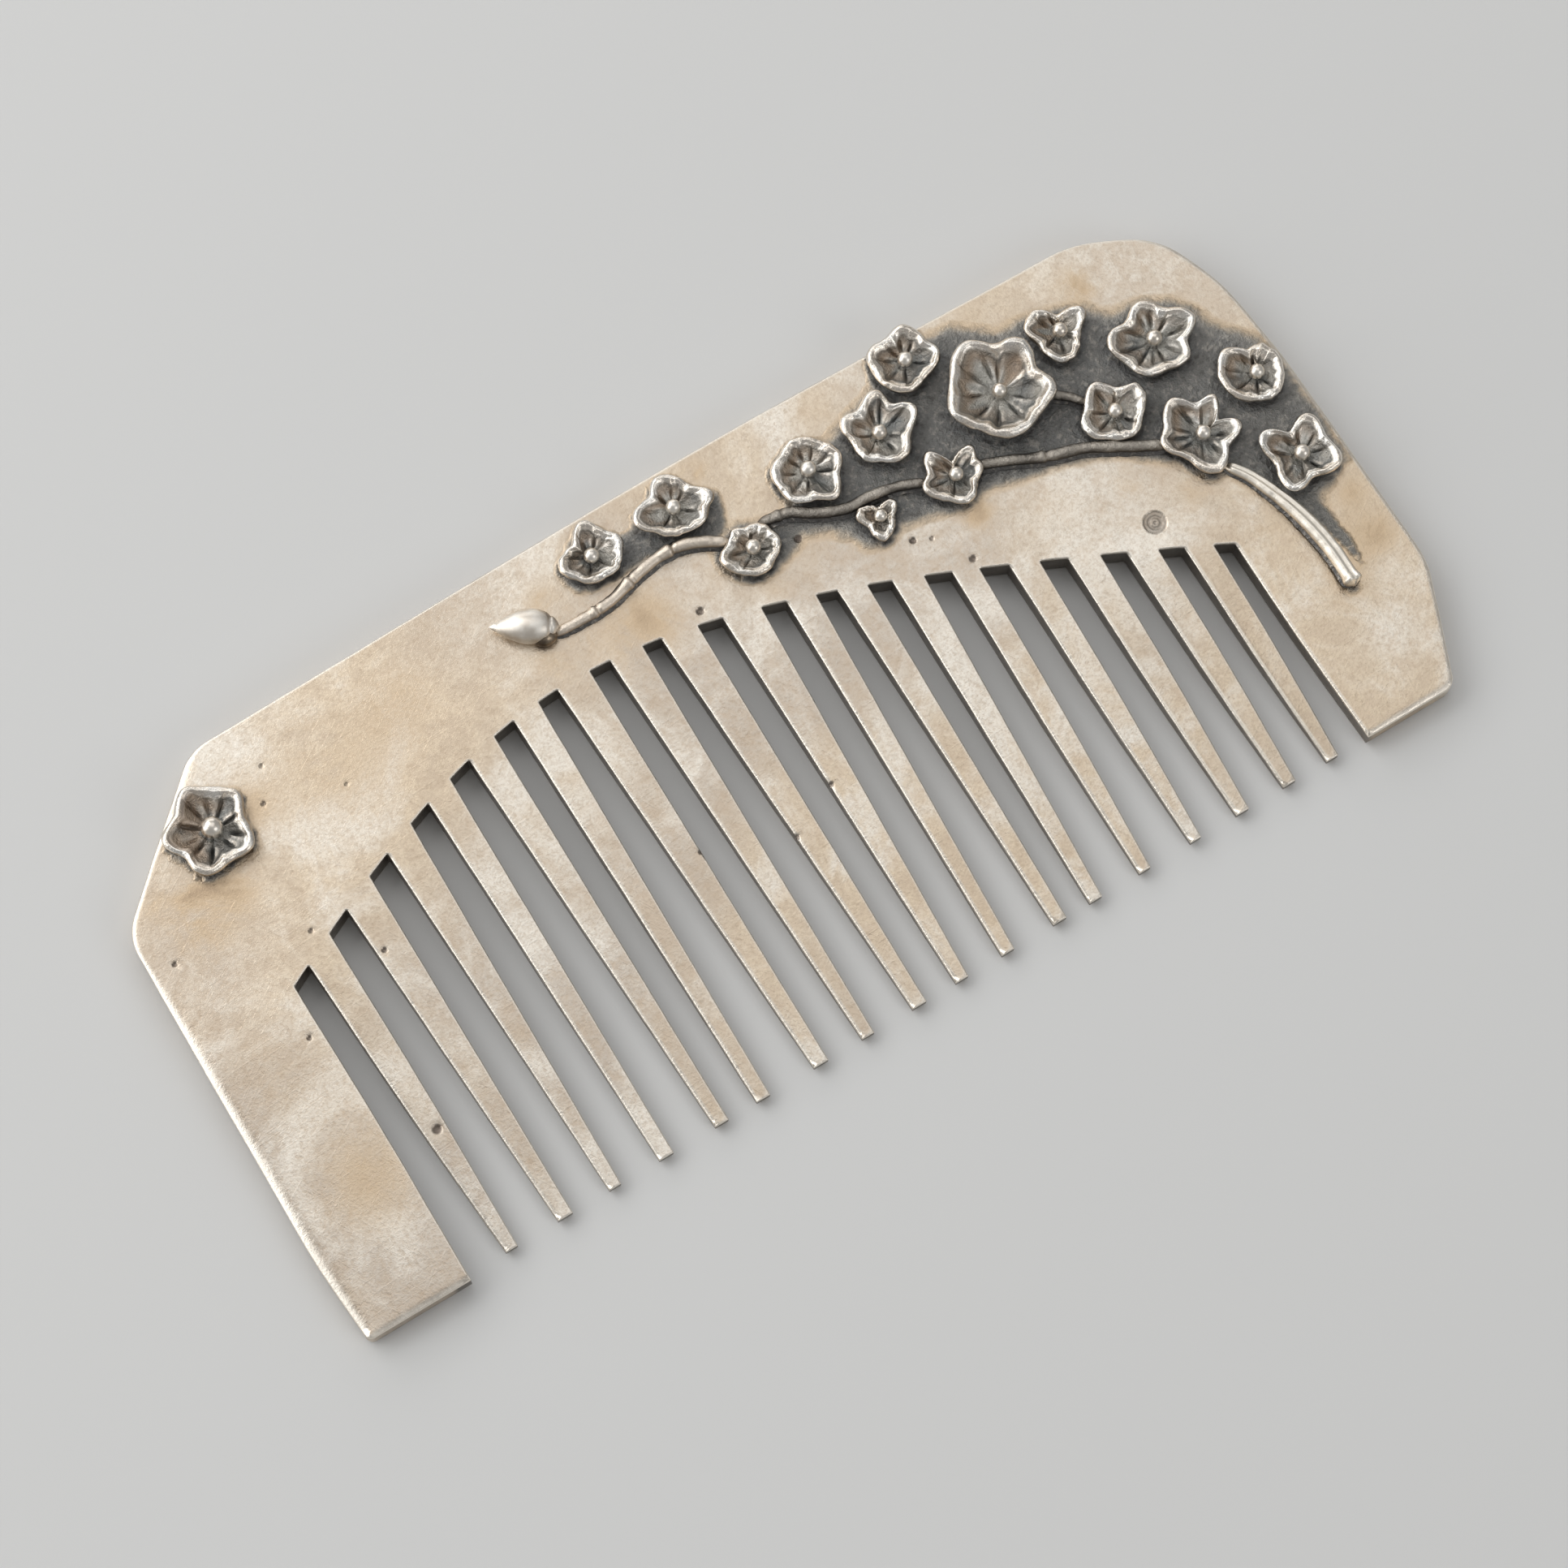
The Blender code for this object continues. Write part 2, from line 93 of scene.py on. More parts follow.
# Outlines of the parts of the sheet that were left dark around the blossoms.
FIELDS = (
    [
        (3.3, 15.2), (3.2, 13.2), (4.6, 11.6), (6.4, 11.2), (8.6, 11.7), (9.8, 12.3), (11.6, 11.6),
        (12.7, 10.5), (13.2, 9.2), (14.8, 8.6), (16.6, 9.2), (18.6, 8.9), (20.6, 8.1), (22.6, 8.5),
        (25, 8), (27, 7.3), (29.4, 6.9), (31.4, 6.4), (33.2, 5.7), (34.7, 4.6), (35.8, 3.5),
        (37.1, 2.5), (38.2, 1.1), (39.8, -0.1), (41, -2.6), (42.2, -4), (43.6, -5.4), (44.6, -8.6),
        (44.9, -5.2), (46.6, -4.4), (48.3, -3.4), (48.6, 0), (48.4, 4), (48, 8), (46.6, 9.4),
        (45.4, 11), (44.8, 12.8), (43.6, 14.2), (41.4, 15.4), (39.2, 15.8), (37.7, 17.2),
        (35.8, 18.3), (33.4, 18.8), (30.8, 19), (29.4, 20.2), (27.8, 21.4), (24, 21.2),
        (21.2, 20.3), (19.2, 19.6), (16.6, 18.8), (15.2, 18.2), (12, 17.6), (10.4, 15.5),
        (8.6, 15), (6, 16.2),
    ],
    [
        (-7.2, 20), (-7.7, 18.6), (-7.2, 17.1), (-4, 16.6), (-1, 16.7), (1.5, 16.2), (3.4, 15.2),
        (5.6, 15.8), (6.2, 17.3), (6.5, 19.2), (3, 20.6), (0, 19.8), (-1.6, 20), (-4, 20.8),
    ],
    [
        (42.4, -2.6), (43.9, -3.2), (44.6, -6), (44.9, -9), (44.6, -11), (44.1, -8.6),
        (43.3, -5.4),
    ],
)
# How dark each is at its outline, and how far the dark takes to fade.
FADES = ((0.4, 2), (0.1, 1), (0.6, 0.8))
# Brown stains and pale rubbed places: x, y, width, weight.
STAINS = [
    (22, 7.4, 1.6, 1), (38, 18.6, 2.6, 0.8), (30, 20.8, 2, 0.5), (16, 20.4, 3, 0.5),
    (44.6, 14.4, 2.2, 0.7), (47.8, 10.5, 2, 0.6), (45, -9, 3, 0.6), (40, -5, 2.2, 0.45),
    (-40.5, 11.2, 3.2, 0.8), (-44, 9.5, 2.6, 0.7), (-36.5, 16, 2.4, 0.6), (-30, 16.5, 5, 0.5),
    (-22, 17.5, 4, 0.45), (2, 21.6, 3, 0.4), (-11, 14, 2.4, 0.4), (27, 5, 2.6, 0.35),
    (-45, -2, 4, 0.4), (-43, -13, 4.5, 0.55), (37, 0.4, 1.8, 0.7), (33, 3.6, 2, 0.45),
    (5.8, 21, 1.6, 0.7), (6, 10.6, 2, 0.5), (14.5, 7.8, 1.8, 0.5), (3, 13.5, 1.5, 0.35),
    (-9.5, 18.4, 1.8, 0.5), (-6, 13.6, 6, 0.4), (-24, 9, 9, 0.3), (-38, -8, 8, 0.25),
    (47.2, -5.5, 1.8, 0.7), (47.3, -9.5, 1.8, 0.6), (42.5, -12, 2.4, 0.5), (-3.5, 12.9, 3, 0.5),
    (-46, 13, 2, 0.5), (-43.1, 12, 1.6, 0.45),
]
PALE_PLACES = [
    (45, 18.5, 6, 1), (47.5, 12, 2.5, 0.6), (30, 3.6, 6, 0.8), (38, 21, 4, 0.7),
    (20, 21.5, 5, 0.5), (14, 5, 5, 0.4), (-34, 20, 5, 0.4), (44, -16.8, 2.6, 0.8),
    (-11.5, 20, 5, 0.4), (-18.6, -0.7, 7, 0.4), (40.7, 15.9, 2, 0.6),
]
MARK = (33, -0.25, 0.95)  # a plain round punch mark: x, y, radius
MARK_DEPTH = 0.14
# Rings of points in and around a pit and the mark, as shares of the radius.
PIT_RINGS = (0.3, 0.55, 0.75, 0.9, 1.0, 1.12, 1.3)
MARK_RINGS = (0.12, 0.24, 0.36, 0.48, 0.6, 0.72, 0.84, 0.92, 1.0, 1.1, 1.3)

# Blossoms
STEPS = 240  # points around each ring of a blossom
BLOSSOMS = range(1, 17)
DIRECTIONS = 36  # the CAD's blossoms are read in this many directions
BROWNED = 1  # this blossom's left half is browner
WIRE_STEP = 0.15


def blossom_name(number):
    return f"blossom_{number:02d}"


def bead_name(number):
    return f"heart_bead_{number:02d}"


def cad_solid(name):
    """A CAD node as one welded bmesh, in millimetres."""
    shape = bmesh.new()
    shape.from_mesh(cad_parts[name].data)
    bmesh.ops.scale(shape, vec=(1 / MM,) * 3, verts=shape.verts)
    bmesh.ops.remove_doubles(shape, verts=shape.verts, dist=1e-4)
    shape.normal_update()
    return shape


def rough(points, scale, seed):
    """Smooth noise from about -1 to 1 at points in plan or in space, its bumps about `scale` across."""
    shift = Vector((seed * 17.3, seed * -9.1, seed * 5.7))
    return np.array([noise.noise(Vector((*point, 0)[:3]) / scale + shift) for point in points])


def away_from(points, spot):
    """How far points lie in plan from the centre of a spot (x, y, radius), in its radii."""
    return np.hypot(points[:, 0] - spot[0], points[:, 1] - spot[1]) / spot[2]


def bell(away, width):
    """One where away is nought, falling smoothly to almost nothing two widths from there."""
    return np.exp(-((away / width) ** 2))


# ---- outline

def cad_outline(shape):
    """The outline in plan, against the clock, where the plate's upright walls begin."""
    walls = {face for face in shape.faces if abs(face.normal.z) < 0.05}
    level = min(vert.co.z for face in walls for vert in face.verts)
    beside = {}
    for edge in shape.edges:
        low = all(abs(vert.co.z - level) < 1e-3 for vert in edge.verts)
        if low and any(face in walls for face in edge.link_faces):
            for vert in edge.verts:
                beside.setdefault(vert, []).append(edge.other_vert(vert))
    first = next(iter(beside))
    chain = [first]
    before, here = None, first
    while True:
        after = next(vert for vert in beside[here] if vert is not before)
        if after is first:
            break
        chain.append(after)
        before, here = here, after
    points = [vert.co.xy for vert in chain]
    turned = sum(a.x * b.y - a.y * b.x for a, b in zip(points, points[1:] + points[:1]))
    return points if turned > 0 else points[::-1]


def curve_through(points, step):
    """Points about `step` apart on a smooth curve through all of these."""
    padded = [2 * points[0] - points[1], *points, 2 * points[-1] - points[-2]]
    found = [points[0]]
    for index in range(len(points) - 1):
        a, b, c, d = padded[index:index + 4]
        span = (c - b).length
        pull_b = (c - a) / max((c - a).length, 1e-9) * span
        pull_c = (d - b) / max((d - b).length, 1e-9) * span
        count = max(1, math.ceil(span / step))
        for part in range(1, count + 1):
            t = part / count
            found.append(
                (2 * t**3 - 3 * t**2 + 1) * b + (t**3 - 2 * t**2 + t) * pull_b
                + (3 * t**2 - 2 * t**3) * c + (t**3 - t**2) * pull_c
            )
    return found


def toward(here, there, length):
    return here + (there - here).normalized() * length


def filed_outline(corners):
    """The outline as hand tools leave it: corners barely rounded, sides slightly uneven."""
    count = len(corners)
    sharp = []
    for index, corner in enumerate(corners):
        into, out = corner - corners[index - 1], corners[(index + 1) % count] - corner
        if abs(into.angle_signed(out)) > CORNER_TURN:
            sharp.append(index)
    points = []
    for first, last in zip(sharp, sharp[1:] + [sharp[0] + count]):
        run = [corners[index % count] for index in range(first, last + 1)]
        trim = min(CORNER_TRIM, 0.4 * (run[1] - run[0]).length, 0.4 * (run[-1] - run[-2]).length)
        after = corners[(last + 1) % count]
        start, end = toward(run[0], run[1], trim), toward(run[-1], run[-2], trim)
        leave = toward(run[-1], after, min(CORNER_TRIM, 0.4 * (after - run[-1]).length))
        points += curve_through([start, *run[1:-1], end], OUTLINE_STEP)
        points += [end.lerp(run[-1], t).lerp(run[-1].lerp(leave, t), t) for t in (0.25, 0.5, 0.75)]
    flat = np.array(points)
    uneven = 0.02 + 0.02 * rough(flat, 2.6, 1)
    return flat + inward_of(flat) * np.clip(uneven, 0, 0.04)[:, None]


def ring(centre, radii, height, steps):
    """Points around a centre at one height; radii is one radius, or one for each step."""
    radii = np.broadcast_to(radii, steps)
    angles = [math.tau * step / steps for step in range(steps)]
    return [
        (centre.x + radius * math.cos(angle), centre.y + radius * math.sin(angle), height)
        for radius, angle in zip(radii, angles)
    ]


def in_plan(points):
    return [(x, y) for x, y, _ in points]


def inward_of(flat):
    """The direction into the metal at each point of the outline."""
    along = np.roll(flat, -1, 0) - np.roll(flat, 1, 0)
    along /= np.linalg.norm(along, axis=1)[:, None]
    return np.column_stack([-along[:, 1], along[:, 0]])


def depth_finder(flat):
    """A function giving how far a point lies from the outline, and the nearest outline point."""
    verts = [(x, y, z) for z in (-1, 1) for x, y in flat]
    count = len(flat)
    faces = [(i, (i + 1) % count, (i + 1) % count + count, i + count) for i in range(count)]
    fence = BVHTree.FromPolygons(verts, faces)

    def find(x, y):
        _, _, index, distance = fence.find_nearest(Vector((x, y, 0)))
        return distance, index

    return find


def depths_of(points, depth_at):
    """How deep each point lies, and its nearest outline point."""
    found = [depth_at(point[0], point[1]) for point in points]
    return np.array([depth for depth, _ in found]), [index for _, index in found]


# ---- heights

def top_finder(shape):
    """A function giving the heights of the plate's filed front, smooth across its folds."""
    flats = [face for face in shape.faces if face.normal.z > 0.97]
    shape.verts.index_update()
    corners = [[vert.index for vert in face.verts] for face in flats]
    tree = BVHTree.FromPolygons([vert.co for vert in shape.verts], corners)

    def plane_at(x, y):
        place, normal, _, _ = tree.find_nearest(Vector((x, y, SHEET_TOP - 0.4)))
        return place.z - (normal.x * (x - place.x) + normal.y * (y - place.y)) / normal.z

    return lambda flat: np.array([sum(plane_at(x, y + shift) for shift in range(-2, 3)) / 5 for x, y in flat])


def rounding(depth, radius):
    """How far a rounded edge lies below the face, this deep in from the outline."""
    short = np.clip(radius - depth, 0, None)
    return radius - np.sqrt(np.clip(radius**2 - short**2, 0, None))


def bevels(flat):
    """The width of the soft bevel at every outline point."""
    x, y = flat[:, 0], flat[:, 1]
    inward = inward_of(flat)
    facing = np.clip(inward @ FROM_LEFT, 0, 1) ** 2
    broad = np.clip((-46 - x) / 1.2, 0, 1) * np.clip((11 - y) / 6, 0, 1) * facing
    below = np.clip(inward[:, 1], 0, 1) ** 2 * (np.abs(x) > 37) * (y < -14)
    right = np.clip(-inward[:, 0], 0, 1) ** 2 * (x > 40)
    corner = bell(x + 40, 3.5) * bell(y - 20, 3) * facing
    uneven = 1 + 0.35 * rough(flat, 6.0, 2)
    widths = 0.05 + LEFT_BEVEL * facing + (CHEEK_BEVEL - LEFT_BEVEL) * np.maximum(broad, 0.7 * corner)
    return (widths + FOOT_BEVEL * below + RIGHT_BEVEL * right) * uneven


def edge_drop(depth, bevel):
    """How far the front lies below its full height, this deep in from the outline."""
    soft = BEVEL_DROP * bevel * np.clip(1 - depth / bevel, 0, 1) ** 2
    return soft + rounding(depth, EDGE_RADIUS)


def waves(flat):
    """The slight unevenness of a sheet that was finished by hand."""
    return 0.01 * rough(flat, 9.0, 3) + 0.003 * rough(flat, 3.0, 4)


def sunk(flat):
    """Depth of the pits and of the punch mark."""
    away = away_from(flat, MARK)
    rings = 0.5 + 0.5 * np.cos(away * math.tau * 2)
    total = MARK_DEPTH * np.clip((1 - away) / 0.15, 0, 1) * (0.45 + 0.55 * rings)
    for *spot, depth in PITS:
        total += depth * np.clip(1 - (away_from(flat, spot) / 1.15) ** 2, 0, None) ** 0.7
    return total


# ---- plate

def scattered(flat, depth_at, spacing, clear, inside):
    """A jittered grid of points inside the outline; clear gives the room to leave at each."""
    pick = random.Random(11)
    low, high = flat.min(0), flat.max(0)
    found = []
    row, y = 0, low[1]
    while y < high[1]:
        x = low[0] + (spacing / 2 if row % 2 else 0)
        while x < high[0]:
            px = x + pick.uniform(-0.15, 0.15) * spacing
            py = y + pick.uniform(-0.15, 0.15) * spacing
            if inside(px, py):
                depth, index = depth_at(px, py)
                if depth > clear[index]:
                    found.append((px, py))
            x += spacing
        y += spacing * 0.87
        row += 1
    return found


def inside_finder(shape):
    tree = BVHTree.FromBMesh(shape)
    return lambda x, y: tree.ray_cast(Vector((x, y, -5)), Vector((0, 0, 1)))[0] is not None


def mesh_over(flat, free):
    """Triangles that fill the outline through these free points."""
    count = len(flat)
    edges = [(index, (index + 1) % count) for index in range(count)]
    plan = [Vector(point) for point in (*flat, *free)]
    verts, _, faces, _, _, _ = delaunay_2d_cdt(plan, edges, [], 1, 1e-5)
    return np.array(verts), faces


def finer_near_marks(free):
    """Swaps the grid for rings of points around the pits and the punch mark."""
    flat = np.array(free)
    keep = np.ones(len(flat), bool)
    rings = []
    for x, y, radius in [*(pit[:3] for pit in PITS), MARK]:
        keep &= away_from(flat, (x, y, radius)) > 1.45
        rings.append((x, y))
        for share in MARK_RINGS if radius == MARK[2] else PIT_RINGS:
            count = max(10, round(22 * share * (0.7 + radius)))
            for step in range(count):
                angle = math.tau * (step + share * 5) / count
                rings.append((x + share * radius * math.cos(angle), y + share * radius * math.sin(angle)))
    return [tuple(point) for point in flat[keep]] + rings


def rings_inside(flat, depths, depth_at, inside):
    """Points at a depth, or depths, in from every outline point, where no other side is nearer."""
    depths = np.broadcast_to(depths, len(flat))
    found = []
    for depth, (x, y) in zip(depths, flat + inward_of(flat) * depths[:, None]):
        if inside(x, y) and depth_at(x, y)[0] > 0.9 * depth:
            found.append((x, y))
    return found


def build_plate():
    shape = cad_solid("comb_plate")
    flat = filed_outline(cad_outline(shape))
    depth_at, inside, tops_at = depth_finder(flat), inside_finder(shape), top_finder(shape)
    bevel = bevels(flat)

    free = []
    for depth in RING_DEPTHS:
        free += rings_inside(flat, depth, depth_at, inside)
    for share in (0.35, 0.7, 1.0):
        free += rings_inside(flat, EDGE_RADIUS + share * bevel, depth_at, inside)
    free += scattered(flat, depth_at, GRID, EDGE_RADIUS + bevel + 0.2, inside)
    plan, front_faces = mesh_over(flat, finer_near_marks(free))
    depth, index = depths_of(plan, depth_at)
    drop = edge_drop(depth, bevel[index])
    front = np.column_stack([plan, tops_at(plan) - SPARE + waves(plan) - drop - sunk(plan)])
    ledge = tops_at(flat) - SPARE + waves(flat) - edge_drop(0, bevel)
    count = len(flat)
    front[:count] = np.column_stack([flat, ledge])  # the outline's own points come first

    free = rings_inside(flat, 0.07, depth_at, inside)
    free += rings_inside(flat, BACK_EDGE_RADIUS, depth_at, inside)
    free += scattered(flat, depth_at, BACK_GRID, np.full(len(flat), 0.5), inside)
    plan_back, back_faces = mesh_over(flat, free)
    depth, _ = depths_of(plan_back, depth_at)
    back = np.column_stack([plan_back, rounding(depth, BACK_EDGE_RADIUS)])
    back[:count] = np.column_stack([flat, np.full(count, BACK_EDGE_RADIUS)])

    levels = [ledge + (BACK_EDGE_RADIUS - ledge) * share for share in (0, 0.06, 0.36, 0.68, 1)]
    wall = np.concatenate([np.column_stack([flat, level]) for level in levels])
    wall_faces = strips(len(levels), count)
    verts = np.concatenate([front, back, wall])
    faces = [tuple(face) for face in front_faces]
    faces += [tuple(index + len(front) for index in reversed(face)) for face in back_faces]
    faces += [tuple(index + len(front) + len(back) for index in face) for face in wall_faces]
    shape.free()
    piece = add_piece("plate_sheet", verts, faces, LOOKS["sheet"], ["comb_plate"], weld=True)
    points = coordinates(piece)
    depth, index = depths_of(points, depth_at)
    brink = points[:, 2] > ledge[index] - 0.02
    # Along the top of the edges the sheet is painted paler: rubbed wear and a painted highlight.
    rubbed_and_lit = np.clip(1 - depth / (EDGE_RADIUS + 0.8 * bevel[index] + 0.06), 0, 1)
    paint_plate(piece, points, np.where(brink, rubbed_and_lit, 0), ~brink)


def coordinates(piece):
    flat = np.zeros(len(piece.data.vertices) * 3)
    piece.data.vertices.foreach_get("co", flat)
    return flat.reshape(-1, 3) / MM


def store(piece, name, values, most=1.0):
    """One value for each point, from nought to the most."""
    attribute = piece.data.attributes.new(name, "FLOAT", "POINT")
    attribute.data.foreach_set("value", np.clip(np.asarray(values, np.float32), 0, most))


def soft_sum(points, anchors):
    """Sum over anchors (x, y, width, weight) of a bell of that width."""
    return sum(weight * bell(away_from(points, spot), 1) for *spot, weight in anchors)


def nearest(points, places):
    """How far each point lies in plan from the nearest of these places."""
    tree = KDTree(len(places))
    for index, (x, y) in enumerate(places):
        tree.insert((x, y, 0), index)
    tree.balance()
    return np.array([tree.find((x, y, 0))[2] for x, y, _ in points])


def depth_inside(points, corners):
    """How far each point lies inside an outline in plan, below zero outside it."""
    flat = np.array(corners)
    x, y = points[:, 0], points[:, 1]
    inside = np.zeros(len(points), bool)
    for (ax, ay), (bx, by) in zip(flat, np.roll(flat, -1, 0)):
        inside ^= ((ay > y) != (by > y)) & (x < ax + (bx - ax) * (y - ay) / (by - ay + 1e-12))
    return np.where(inside, 1, -1) * depths_of(points, depth_finder(flat))[0]


def paint_plate(piece, points, brink, side):
    """Where the sheet is darkened around its applied pieces (patina, and a painted contact shadow right
    beside them), stained, rubbed bright with a painted highlight at its edges, and painted in shade on the
    slot walls.
    """
    fields = [shift + depth_inside(points, corners) / fade for corners, (shift, fade) in zip(FIELDS, FADES)]
    places = [spot for number in BLOSSOMS for spot in cup_spots(number)]
    places += [spot for name, line in WIRE_LINES.items() if name != "stem" for spot in in_plan(line)]
    close = nearest(points, places)
    stem = nearest(points, in_plan(WIRE_LINES["stem"]))
    patina = np.max([*fields, 0.9 - close / 0.7, 0.9 - stem / 1.1], axis=0)
    store(piece, "patina", np.where(side, 0, patina), 1.1)
    # close: a painted contact shadow right beside the blossoms and wires.
    store(piece, "close", np.where(side, 0, 1 - close / 0.6))
    store(piece, "stain", np.where(side, 0, soft_sum(points, STAINS)))
    store(piece, "pale", np.where(side, 0, soft_sum(points, PALE_PLACES)))
    store(piece, "edge", brink)
    # The slot walls are painted dark, as painted shade.
    slots = (points[:, 0] > -41) & (points[:, 0] < 38) & (points[:, 1] < 12.5)
    store(piece, "wall", side & slots & (points[:, 2] > 0.1))
    front = points[:, 2] > 0.7
    marked = away_from(points, MARK) < 1.1
    store(piece, "pit", np.clip(sunk(points[:, :2]) / 0.08, 0, 1) * front * np.where(marked, 0.6, 0.9))


def cup_spots(number):
    """Places in plan under a blossom, out to its rim."""
    centre, reach, _, _ = CAD_CUPS[number]
    rings = [ring(centre, share * reach, 0, DIRECTIONS) for share in (0.0, 0.4, 0.7, 0.95)]
    return [spot for points in rings for spot in in_plan(points)]


# ---- pieces

def add_piece(name, verts, faces, look, replaced=(), weld=False):
    """A closed mesh from points in millimetres that rides the comb and stands for CAD nodes."""
    mesh = bpy.data.meshes.new(name)
    mesh.from_pydata([tuple(point) for point in np.asarray(verts) * MM], [], [list(face) for face in faces])
    shape = bmesh.new()
    shape.from_mesh(mesh)
    if weld:
        bmesh.ops.remove_doubles(shape, verts=shape.verts, dist=1e-8)
        bmesh.ops.remove_doubles(shape, verts=shape.verts, dist=2e-7)
    bmesh.ops.recalc_face_normals(shape, faces=shape.faces)
    shape.to_mesh(mesh)
    shape.free()
    mesh.shade_smooth()
    mesh.materials.append(look)
    piece = bpy.data.objects.new(name, mesh)
    bpy.context.scene.collection.objects.link(piece)
    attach(piece, "root")
    for node in replaced:
        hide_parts(node)
    return piece


def strips(rows, steps):
    """Faces between closed rings of `steps` points each."""
    return [
        (row + step, row + (step + 1) % steps, row + steps + (step + 1) % steps, row + steps + step)
        for row in range(0, (rows - 1) * steps, steps) for step in range(steps)
    ]


def ring_faces(rows, steps):
    """Faces between closed rings of `steps` points each, with a point at both ends."""
    faces = strips(rows, steps)
    total, last = rows * steps, (rows - 1) * steps
    for step in range(steps):
        after = (step + 1) % steps
        faces += [(total, after, step), (total + 1, last + step, last + after)]
    return faces


def beyond(end, inner, length):
    """The end of an (x, y, radius) line moved on by a length."""
    away = Vector((end[0] - inner[0], end[1] - inner[1])).normalized() * length
    return (end[0] + away.x, end[1] + away.y, end[2])


def tube(name, line, sides, look, replaced=(), section=None):
    """A wire along (x, y, radius) points that rests on the sheet; section reshapes its rings."""
    verts, wear_and_light = [], []
    count = len(line)
    for index, (x, y, radius) in enumerate(line):
        before, after = line[max(index - 1, 0)], line[min(index + 1, count - 1)]
        along = Vector((after[0] - before[0], after[1] - before[1])).normalized()
        for side in range(sides):
            angle = math.tau * side / sides
            across, up = radius * math.cos(angle), radius * math.sin(angle)
            if section:
                across, up = section(index / (count - 1), angle, radius, across, up)
            z = SHEET_TOP + SEAM + radius + up
            verts.append((x - along.y * across, y + along.x * across, max(z, SHEET_TOP - SINK)))
            # The wire is painted lighter towards its top and darker below: painted light and shade.
            wear_and_light.append((z - SHEET_TOP) / (2 * radius + SEAM))
    for end, inner in ((line[0], line[1]), (line[-1], line[-2])):
        x, y, radius = beyond(end, inner, end[2] / 2)
        verts.append((x, y, SHEET_TOP + SEAM + radius))
    piece = add_piece(name, verts, ring_faces(count, sides), look, replaced)
    store(piece, "wear_and_light", [*wear_and_light, 0.5, 0.5])
    return piece


# ---- wires

def cad_crest(name):
    """A CAD wire's line as (x, y, radius), from one end to the other."""
    shape = cad_solid(name)
    left = [vert.co.copy() for vert in shape.verts if vert.normal.z > 0.74]
    shape.free()
    centre = sum(left, Vector()) / len(left)
    line = [max(left, key=lambda point: (point - centre).length)]
    left.remove(line[0])
    while left:
        line.append(min(left, key=lambda point: (point - line[-1]).length))
        left.remove(line[-1])
    line = [(point.x, point.y, (point.z - SHEET_TOP - SEAM) / 2) for point in line]
    return line if line[0][2] >= line[-1][2] else line[::-1]


def stretched(line, before, after):
    """The line made longer at its ends, with points WIRE_STEP apart."""
    points = [beyond(line[0], line[1], before), *line, beyond(line[-1], line[-2], after)]
    return curve_through([Vector(point) for point in points], WIRE_STEP)


def tapered(line):
    """The line thinning at both ends, where it runs in under a blossom or into the sheet."""
    thin = (0.5, 0.65, 0.78, 0.88, 0.94, 0.98)
    count = len(line)
    return [
        (x, y, radius * min([*thin[index:index + 1], *thin[count - 1 - index:count - index], 1]))
        for index, (x, y, radius) in enumerate(line)
    ]


# How much further each wire reaches at its ends than in the CAD, and the places in x of its knots.
WIRE_ENDS = {
    "stem": (0.05, 0.8), "branch_middle": (1.1, 1.1), "branch_lower": (1.1, 1.1),
    "branch_tip": (0.9, 0.9), "twig": (1.1, 1.1),
}
WIRE_LINES = {name: tapered(stretched(cad_crest(name), *ends)) for name, ends in WIRE_ENDS.items()}
KNOTS = {"branch_tip": (0.55, -3.35, -6.7), "branch_middle": (28.4,), "branch_lower": (9.0,)}


def knotted(name, line):
    """The wire's thickness made uneven, with knots like a twig's."""
    knots = KNOTS.get(name, ())
    bumps = 0.09 * rough(in_plan(line), 0.9, 5) + 0.05 * rough(in_plan(line), 0.4, 18)
    found = []
    for (x, y, radius), bump in zip(line, bumps):
        grown = sum(0.17 * bell(x - knot, 0.25) - 0.22 * bell(x - knot - 0.32, 0.12) for knot in knots)
        if name == "stem":
            free = math.hypot(x - line[0][0], y - line[0][1])
            bump, grown = bump / 3, 0.28 * bell(free, 0.5) - 0.08
        found.append((x, y, radius * (1 + bump + grown)))
    return found


def ridged(share, angle, radius, across, up):
    """The stem's section: a narrow ridge and a wide one with a groove between them."""
    if up > 0:
        up *= 1 - 0.55 * bell(across / radius + 0.25, 0.22)
    return across * 1.08, up


def build_wires():
    for name, line in WIRE_LINES.items():
        section = ridged if name == "stem" else None
        look = LOOKS[{"stem": "stem", "branch_tip": "tip"}.get(name, "wire")]
        tube(name + "_wire", knotted(name, line), 24, look, [name], section)
        grains = rough(in_plan(line), 0.45, 8)
        spread = 1.2 if name == "stem" else 1.4

        def fillet(share, angle, radius, across, up, line=line, grains=grains, spread=spread):
            side = math.cos(angle)
            lean = 1 + 0.1 * grains[round(share * (len(line) - 1))] * (1 if side > 0 else -1)
            rise = -SINK if math.sin(angle) < 0 else spread * radius * (1 - abs(side)) ** 1.1
            return spread * radius * lean * side, rise - radius - SEAM

        tube(name + "_solder", line, 20, LOOKS["solder"], (), fillet)


# ---- blossoms

def around(values, steps):
    """Values at equal steps around a circle, read smoothly at `steps` places."""
    place = np.arange(steps) * len(values) / steps
    index = place.astype(int)
    t = place - index
    a, b, c, d = (np.take(values, index + shift, mode="wrap") for shift in (-1, 0, 1, 2))
    return b + t * ((c - a) / 2 + t * (a - 2.5 * b + 2 * c - d / 2 + t * (1.5 * (b - c) + (d - a) / 2)))


